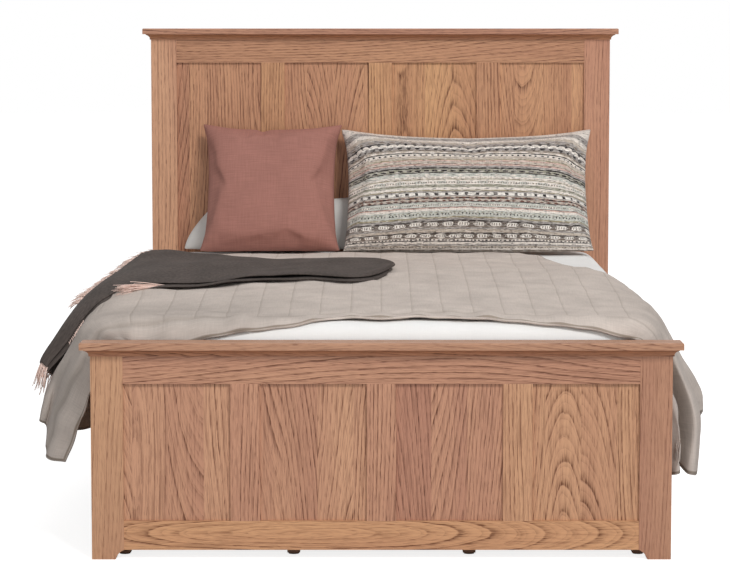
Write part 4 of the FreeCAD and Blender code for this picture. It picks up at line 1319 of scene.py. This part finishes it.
    def fringe(self) -> Piece:
        """Yarn ends as thin four-sided tubes. Each starts on an edge of the throw and runs along a curve that
        droops by the square of the way along it.

        Returns:
            The fringe.
        """
        rng = np.random.default_rng(77)
        counts = [run.count for run in self.runs]
        s = np.concatenate([np.linspace(*run.along, run.count) for run in self.runs])
        r = np.concatenate([np.linspace(*run.across, run.count) for run in self.runs])
        size = np.repeat([run.length for run in self.runs], counts)
        bunch = size > self.long_yarn
        root = self.lay(s, r)
        root[:, 2] += np.where(bunch, -0.004, 0.004)
        turn = rng.normal(0, 0.16, root.shape) * np.where(bunch, 0.6, 1.0)[:, None]
        turn += np.repeat([run.way for run in self.runs], counts, 0)
        turn /= np.linalg.norm(turn, axis=1, keepdims=True)
        length = (size * rng.uniform(0.7, 1.15, len(s)))[:, None, None]
        droop = np.where(bunch, -0.05, -0.45)[:, None, None] * np.array([0, 0, 1.0])
        t = np.linspace(0, 1, 6)[None, :, None]
        line = root[:, None] + turn[:, None] * t * length + droop * length * t**2
        across = np.cross(turn, [0.0, 0.0, 1.0])
        across /= np.maximum(np.linalg.norm(across, axis=1, keepdims=True), 1e-6)
        over = np.cross(across, turn)
        ring = np.stack([across, over, -across, -over], 1)[:, None]
        points = line[:, :, None, :] + ring * self.yarn_radius * (1.05 - 0.5 * t[..., None])
        index = np.arange(points[..., 0].size).reshape(points.shape[:3])
        loop = np.concatenate([index, index[..., :1]], -1)
        faces = np.stack([loop[:, :-1, :-1], loop[:, :-1, 1:], loop[:, 1:, 1:], loop[:, 1:, :-1]], -1)
        caps = [index[:, 0, ::-1], index[:, -1]]
        return make("fringe_yarns", points.reshape(-1, 3), np.concatenate([faces.reshape(-1, 4), *caps]))


@dataclass
class Pillow:
    """A stuffed pillow: two faces of a flat lens that an inflating cloth simulation fills."""

    node: str
    slot: str
    width: float
    height: float
    depth: float
    foot: XYZ  # where the middle of its lower edge would stand
    tilt: float  # radians that it leans back by
    seed: int
    draw_in: float = 0.035  # share by which the sides are drawn in between the corners
    blunt: float = 0.0  # share by which the corners are blunted
    sag: float = 0.02  # metres by which the upper edge hangs, and the depth of a dent in it
    kink: float = 0.0
    slant: float = 0.0  # metres by which the upper left corner leans in
    gather: float = 0.006  # metres by which the creases at the seam rise
    fill: float = 0.6
    rest: float = 0.700  # height of the sheet
    wall: float = 1.043  # y of the headboard's face
    cell: float = 0.0125
    frames: int = 20
    most: float = 0.025  # metres that the filling may move a point

    def lens(self) -> Shell:
        """The pillow before it is filled, upright: its half depth is the product of two superellipse arches,
        and the sides are drawn in between the corners by a parabola. Blunt corners come from drawing each
        side in by the square of the other position.

        Returns:
            Front points, back points and flat coordinates.
        """
        a = np.linspace(-1, 1, int(self.width / self.cell))[None, :]
        b = np.linspace(-1, 1, int(self.height / self.cell))[:, None]
        a, b = np.broadcast_arrays(a, b)
        arch = (1 - np.abs(a) ** 2.4) ** 0.55 * (1 - np.abs(b) ** 2.4) ** 0.55
        half = 0.43 * self.depth * np.clip(arch, 0, None) + 0.0015
        up, middle = (b + 1) / 2, 0.5 * self.height
        x = 0.5 * self.width * a * (1 - self.draw_in * (1 - b**2)) * np.sqrt(1 - self.blunt * b**2)
        y = self.height * up - self.sag * (1 - a**2) * up**2 - 0.010 * (1 - a**4) * (1 - up)
        y = y - self.kink * np.exp(-((a + 0.12) ** 2) / 0.004) * up**6
        y = middle + (y - middle) * np.sqrt(1 - self.blunt * a**2)
        uv = np.stack([0.5 * self.width * (a + 1), self.height * up], -1)
        return np.stack([x, y, half], -1), np.stack([x, y, -half], -1), uv

    def fill_up(self, obj: Piece) -> Array:
        """Fills the pillow by a cloth simulation with inner pressure, and keeps each point within a limit.

        Args:
            obj: the flat pillow.

        Returns:
            The points afterwards.
        """
        scene = bpy.context.scene
        m = obj.modifiers.new("fill", "CLOTH")
        c = m.settings
        c.quality, c.mass, c.air_damping = 5, 0.25, 2.0
        c.tension_stiffness = c.compression_stiffness = 18.0
        c.shear_stiffness, c.bending_stiffness = 8.0, 0.6
        c.use_pressure, c.uniform_pressure_force, c.shrink_min = True, 4.0, -0.01
        c.effector_weights.gravity = 0.0
        m.collision_settings.use_collision = m.collision_settings.use_self_collision = False
        m.point_cache.frame_start, m.point_cache.frame_end = 1, self.frames
        for number in range(1, self.frames + 1):
            scene.frame_set(number)
        shown = obj.evaluated_get(bpy.context.evaluated_depsgraph_get())
        both = np.zeros((2, len(obj.data.vertices) * 3), np.float32)
        for points, mesh in zip(both, (obj.data, shown.data)):
            mesh.vertices.foreach_get("co", points)
        before, after = both.astype(float).reshape(2, -1, 3)
        obj.modifiers.remove(m)
        scene.frame_set(1)
        move = after - before
        far = np.linalg.norm(move, axis=1, keepdims=True)
        log.info("%s: the filling moved it by up to %.1f mm", self.node, 1000 * float(far.max()))
        return before + move * np.minimum(1, self.most / np.maximum(far, 1e-9))

    def refit(self, cut: Array, p: Array, corners: Sequence[int]) -> Array:
        """Stretches the filled pillow until its corners are as far apart as they were cut, and slants it.

        Args:
            cut: points before the filling.
            p: points after it.
            corners: vertex numbers of the corners: lower left and right, then upper left and right.

        Returns:
            The points.
        """
        old, now = cut[corners, :2].reshape(2, 2, 2), p[corners, :2].reshape(2, 2, 2)
        out = p.copy()
        for k in (0, 1):
            stretch = np.diff(old[..., k], axis=1 - k).mean() / np.diff(now[..., k], axis=1 - k).mean()
            out[:, k] = old[..., k].mean() + (p[:, k] - now[..., k].mean()) * stretch
        share = np.clip(out[:, 1] / self.height, 0, 1)
        out[:, 0] += self.slant * np.clip(0.5 - out[:, 0] / self.width, 0, 1) ** 2 * share**1.3
        return out

    def creases(self, p: Array, flat: Array) -> Array:
        """Adds gathers that run in from the seam and die out: the depth is scaled by a wave along the seam.

        Args:
            p: points.
            flat: flat coordinates.

        Returns:
            The points with gathers.
        """
        a, b = flat[:, 0] / self.width * 2 - 1, flat[:, 1] / self.height * 2 - 1
        near = np.maximum(np.abs(a), np.abs(b))
        strength = np.exp(-(1 - near) / 0.16) * (1 - near**12)
        along = waves(np.arctan2(b, a), 0 * a, self.seed, (0.5, 0.23, 0.11))
        soft = waves(flat[:, 0], flat[:, 1], self.seed + 1, (0.3, 0.14))
        out = p.copy()
        out[:, 2] += np.sign(p[:, 2]) * (self.gather * strength * along + 0.0018 * soft * (1 - near**4))
        return out

    def place(self, p: Array) -> Array:
        """Leans the pillow back, sets it on the sheet and keeps it off the headboard, each with a soft limit.

        Args:
            p: upright points: across, up and out of the front face.

        Returns:
            Points in the row frame.
        """
        c, s, soft = math.cos(self.tilt), math.sin(self.tilt), (0.02, 0.015)
        x = self.foot[0] + p[:, 0]
        y = self.foot[1] + p[:, 1] * s - p[:, 2] * c
        z = self.foot[2] + p[:, 1] * c + p[:, 2] * s
        low, over = self.rest + soft[0] - z, y - self.wall + soft[1]
        z = np.where(low > 0, self.rest + soft[0] * np.exp(-np.clip(low, 0, None) / soft[0]), z)
        y = np.where(over > 0, self.wall - soft[1] * np.exp(-over / soft[1]), y)
        return np.stack([x, y, z], -1)

    def build(self, finish: Material) -> None:
        """Builds, fills and places the pillow.

        Args:
            finish: its material.
        """
        front, back, uv = self.lens()
        points, faces, flat = two_sided(front, back, uv)
        obj = make(self.node + "_pad", points, faces, flat)
        filled = self.fill_up(obj)
        count, across = front[..., 0].size, front.shape[1]
        filled = self.refit(points, filled, [0, across - 1, count - across, count - 1])
        placed = self.place(self.creases(filled, flat))
        obj.data.vertices.foreach_set("co", placed.astype(np.float32).ravel())
        obj.data.update()
        smooth = obj.modifiers.new("smooth", "SUBSURF")
        smooth.levels = smooth.render_levels = 1
        finish_piece(obj, self.node, finish)


def striped_cloth() -> Stripes:
    """The long pillow's striped weave: a common folk pattern of bands, dashes, points and dots.

    Returns:
        The finish. A stripe is where it begins, as a share of the height, and its colour.
    """
    cream, beige, taupe = (240, 230, 220), (202, 188, 173), (140, 126, 114)
    coal, sage, mint = (46, 40, 42), (160, 157, 140), (202, 203, 194)
    blush, rust, grey = (212, 178, 166), (116, 80, 70), (164, 157, 152)
    chalk, smoke, olive = (250, 244, 236), (104, 94, 88), (162, 152, 124)
    stripes = (
        (0.000, taupe), (0.018, cream), (0.040, beige), (0.056, grey), (0.074, cream), (0.092, coal),
        (0.100, cream), (0.116, taupe), (0.126, smoke), (0.158, coal), (0.166, beige), (0.190, grey),
        (0.205, taupe), (0.213, smoke), (0.247, coal), (0.255, grey), (0.272, olive), (0.283, mint),
        (0.330, cream), (0.345, blush), (0.352, rust), (0.357, mint), (0.398, coal), (0.404, beige),
        (0.424, rust), (0.440, beige), (0.447, grey), (0.492, olive), (0.502, cream), (0.520, sage),
        (0.545, cream), (0.585, olive), (0.592, cream), (0.612, mint), (0.640, coal), (0.648, sage),
        (0.672, coal), (0.684, grey), (0.700, blush), (0.712, rust), (0.718, beige), (0.735, blush),
        (0.748, olive), (0.756, beige), (0.780, cream), (0.800, coal), (0.806, beige), (0.824, taupe),
        (0.834, grey), (0.862, cream), (0.880, coal), (0.888, grey), (0.915, beige), (0.935, cream),
        (0.955, grey), (0.980, cream),
    )
    rows = (
        (0.046, 0.005, taupe, 0.011, 0.5),
        (0.109, 0.005, coal, 0.013, 0.5),
        (0.142, 0.014, chalk, 0.050, 0.84, 0.3, 0.006),
        (0.142, 0.009, taupe, 0.0085, 0.36),
        (0.230, 0.015, chalk, 0.056, 0.80, 0.3, 0.02),
        (0.230, 0.010, taupe, 0.0085, 0.36),
        (0.306, 0.006, coal, 0.012, 0.35),
        (0.318, 0.004, sage, 0.016, 0.5, 0.0, 0.004),
        (0.376, 0.006, cream, 0.090, 0.55, 0.2),
        (0.376, 0.005, taupe, 0.008, 0.4),
        (0.412, 0.009, rust, 0.024, 0.8, 0.8),
        (0.432, 0.006, coal, 0.026, 0.45),
        (0.468, 0.012, chalk, 0.034, 1.0),
        (0.468, 0.011, coal, 0.034, 0.34, 0.0, 0.006),
        (0.564, 0.010, mint, 0.070, 0.6, 0.2),
        (0.564, 0.006, taupe, 0.0088, 0.45),
        (0.600, 0.004, beige, 0.020, 0.5),
        (0.625, 0.007, cream, 0.060, 0.5, 0.4),
        (0.660, 0.007, coal, 0.030, 0.62),
        (0.790, 0.006, coal, 0.020, 0.5, 0.3),
        (0.815, 0.006, cream, 0.040, 0.75, 0.6),
        (0.848, 0.015, coal, 0.031, 0.62, 0.5, 0.010),
        (0.862, 0.006, chalk, 0.031, 0.70, 0.3, 0.014),
        (0.884, 0.012, coal, 0.031, 0.56, 0.5, 0.020),
        (0.902, 0.008, taupe, 0.036, 0.6, 0.4),
    )
    figured = tuple(Row(*row) for row in rows)
    return Stripes("pillow_weave", cream, 0.13, yarn=0.0019, run=0.030, stripes=stripes, rows=figured)


# -------------------------------------------------------------------- studio


@dataclass
class Studio:
    """Camera, lights, floor and background. The camera is a fit to both boards in the photograph."""

    lens: float = 132.98
    sensor: float = 36.0
    place: XYZ = (-0.0136, -8.5134, 1.4717)
    pitch: float = 0.09717
    shift: float = -0.0159
    ambient: float = 0.27
    key: float = 1720.0
    floor_glow: float = 0.82
    floor_grey: float = 0.72
    floor_side: float = 40.0

    def build(self) -> None:
        """Builds the studio."""
        scene = bpy.context.scene
        scene.view_settings.view_transform = "Standard"
        data = bpy.data.cameras.new("camera")
        data.lens, data.sensor_width, data.shift_x = self.lens, self.sensor, self.shift
        data.clip_start, data.clip_end = 0.1, 100.0
        camera = bpy.data.objects.new("camera", data)
        camera.location = self.place
        camera.rotation_euler = (0.5 * math.pi - self.pitch, 0.0, 0.0)
        scene.collection.objects.link(camera)
        scene.camera = camera
        self.light("key_light", (5.8, -12.3, 12.6), 0.5, 4.5, self.key)
        self.light("fill_light", (-1.5, -12.0, 3.0), 0.6, 6.0, 0.14 * self.key)
        self.light("top_light", (0.8, 1.5, 8.0), 0.5, 4.0, 0.047 * self.key)
        self.floor()
        self.world()

    @staticmethod
    def light(name: str, place: XYZ, aim: float, size: float, power: float) -> None:
        """Adds a square soft light.

        Args:
            name: its name.
            place: where it is.
            aim: the height over the origin that it faces.
            size: its side.
            power: its power in watts.
        """
        data = bpy.data.lights.new(name, "AREA")
        data.shape, data.size, data.energy = "SQUARE", size, power
        lamp = bpy.data.objects.new(name, data)
        lamp.location = place
        way = Vector((0.0, 0.0, aim)) - Vector(place)
        lamp.rotation_euler = way.to_track_quat("-Z", "Y").to_euler()
        bpy.context.scene.collection.objects.link(lamp)

    def floor(self) -> None:
        """Adds the pale floor, which the camera sees a little brighter than it is lit."""
        made, net, shader = surface("floor_white", {"Roughness": 1.0, "Specular IOR Level": 0.0})
        seen = net.read(net.node("ShaderNodeLightPath").outputs["Is Camera Ray"])
        net.put(shader.inputs["Emission Color"], (1.0, 1.0, 1.0, 1.0))
        net.put(shader.inputs["Emission Strength"], seen * self.floor_glow)
        net.put(shader.inputs["Base Color"], (self.floor_grey, self.floor_grey, self.floor_grey, 1.0))
        corners = np.array([[-1, -1, 0], [1, -1, 0], [1, 1, 0], [-1, 1, 0]]) * self.floor_side
        obj = make("floor", corners, np.array([[0, 1, 2, 3]]))
        paint(obj, made)

    def world(self) -> None:
        """Makes the background white where it is seen, and grey as a light."""
        world = bpy.data.worlds.new("studio")
        bpy.context.scene.world = world
        world.use_nodes = True
        net = Net(world.node_tree)
        path = net.node("ShaderNodeLightPath").outputs
        seen = net.math("MAXIMUM", path["Is Camera Ray"], path["Is Transmission Ray"])
        seen = net.math("MAXIMUM", seen, path["Is Glossy Ray"])
        back = world.node_tree.nodes["Background"]
        net.put(back.inputs["Color"], (1.0, 1.0, 1.0, 1.0))
        net.put(back.inputs["Strength"], seen * (1.0 - self.ambient) + self.ambient)


@dataclass
class Bed:
    """The whole bed."""

    surface: BedSurface = field(default_factory=BedSurface)
    pillows: tuple = (
        Pillow("plain_pillow", "pillow_cotton", 0.675, 0.218, 0.125, (-0.386, 0.966, 0.688), 0.17, 5,
               sag=0.004, slant=0.16, gather=0.003, blunt=0.17),
        Pillow("square_cushion", "cushion_linen", 0.498, 0.496, 0.150, (-0.381, 0.775, 0.712), 0.4957, 9,
               draw_in=0.045, sag=0.014, kink=0.009, gather=0.002),
        Pillow("long_pillow", "pillow_weave", 0.884, 0.486, 0.170, (0.303, 0.775, 0.710), 0.5236, 14,
               draw_in=0.030, sag=0.034, fill=0.7),
    )

    def build(self) -> None:
        """Builds and dresses everything."""
        nodes = frame["nodes"]
        Boards(OakGrain().group()).dress(nodes)
        Base().dress(nodes)
        weave = weave_group()
        ticking = Cloth("ticking", (236, 234, 229), 0.04, 0.02)
        cotton = Cloth("sheet_cotton", (244, 243, 241), 0.03, 0.02, sheen=0.0)
        Mattress(self.surface).build(ticking.material(weave), cotton.material(weave))
        linen = Quilting("quilt_linen", (206, 194, 185), 0.115, 0.12, yarn=0.0036, sheen=0.03)
        Quilt(QuiltShape(self.surface)).build(linen.material(weave))
        wool = Cloth("throw_wool", (76, 68, 64), 0.45, 0.24, yarn=0.011, run=0.014, sheen=0.02)
        yarn = Plain("fringe_yarn", (238, 210, 198), 0.9, uneven=0.35, scale=60.0)
        Throw().build(wool.material(weave), yarn.material())
        covers = (
            Cloth("pillow_cotton", (214, 211, 207), 0.04, 0.03),
            Cloth("cushion_linen", (164, 115, 104), 0.18, 0.06, yarn=0.0035, run=0.07, sheen=0.02),
            striped_cloth(),
        )
        for pillow, cover in zip(self.pillows, covers):
            pillow.build(cover.material(weave))


def main() -> None:
    """Builds the bed and its studio."""
    logging.basicConfig(level=logging.INFO, format="%(name)s %(message)s")
    Bed().build()
    Studio().build()


if __name__ == "__main__":
    main()
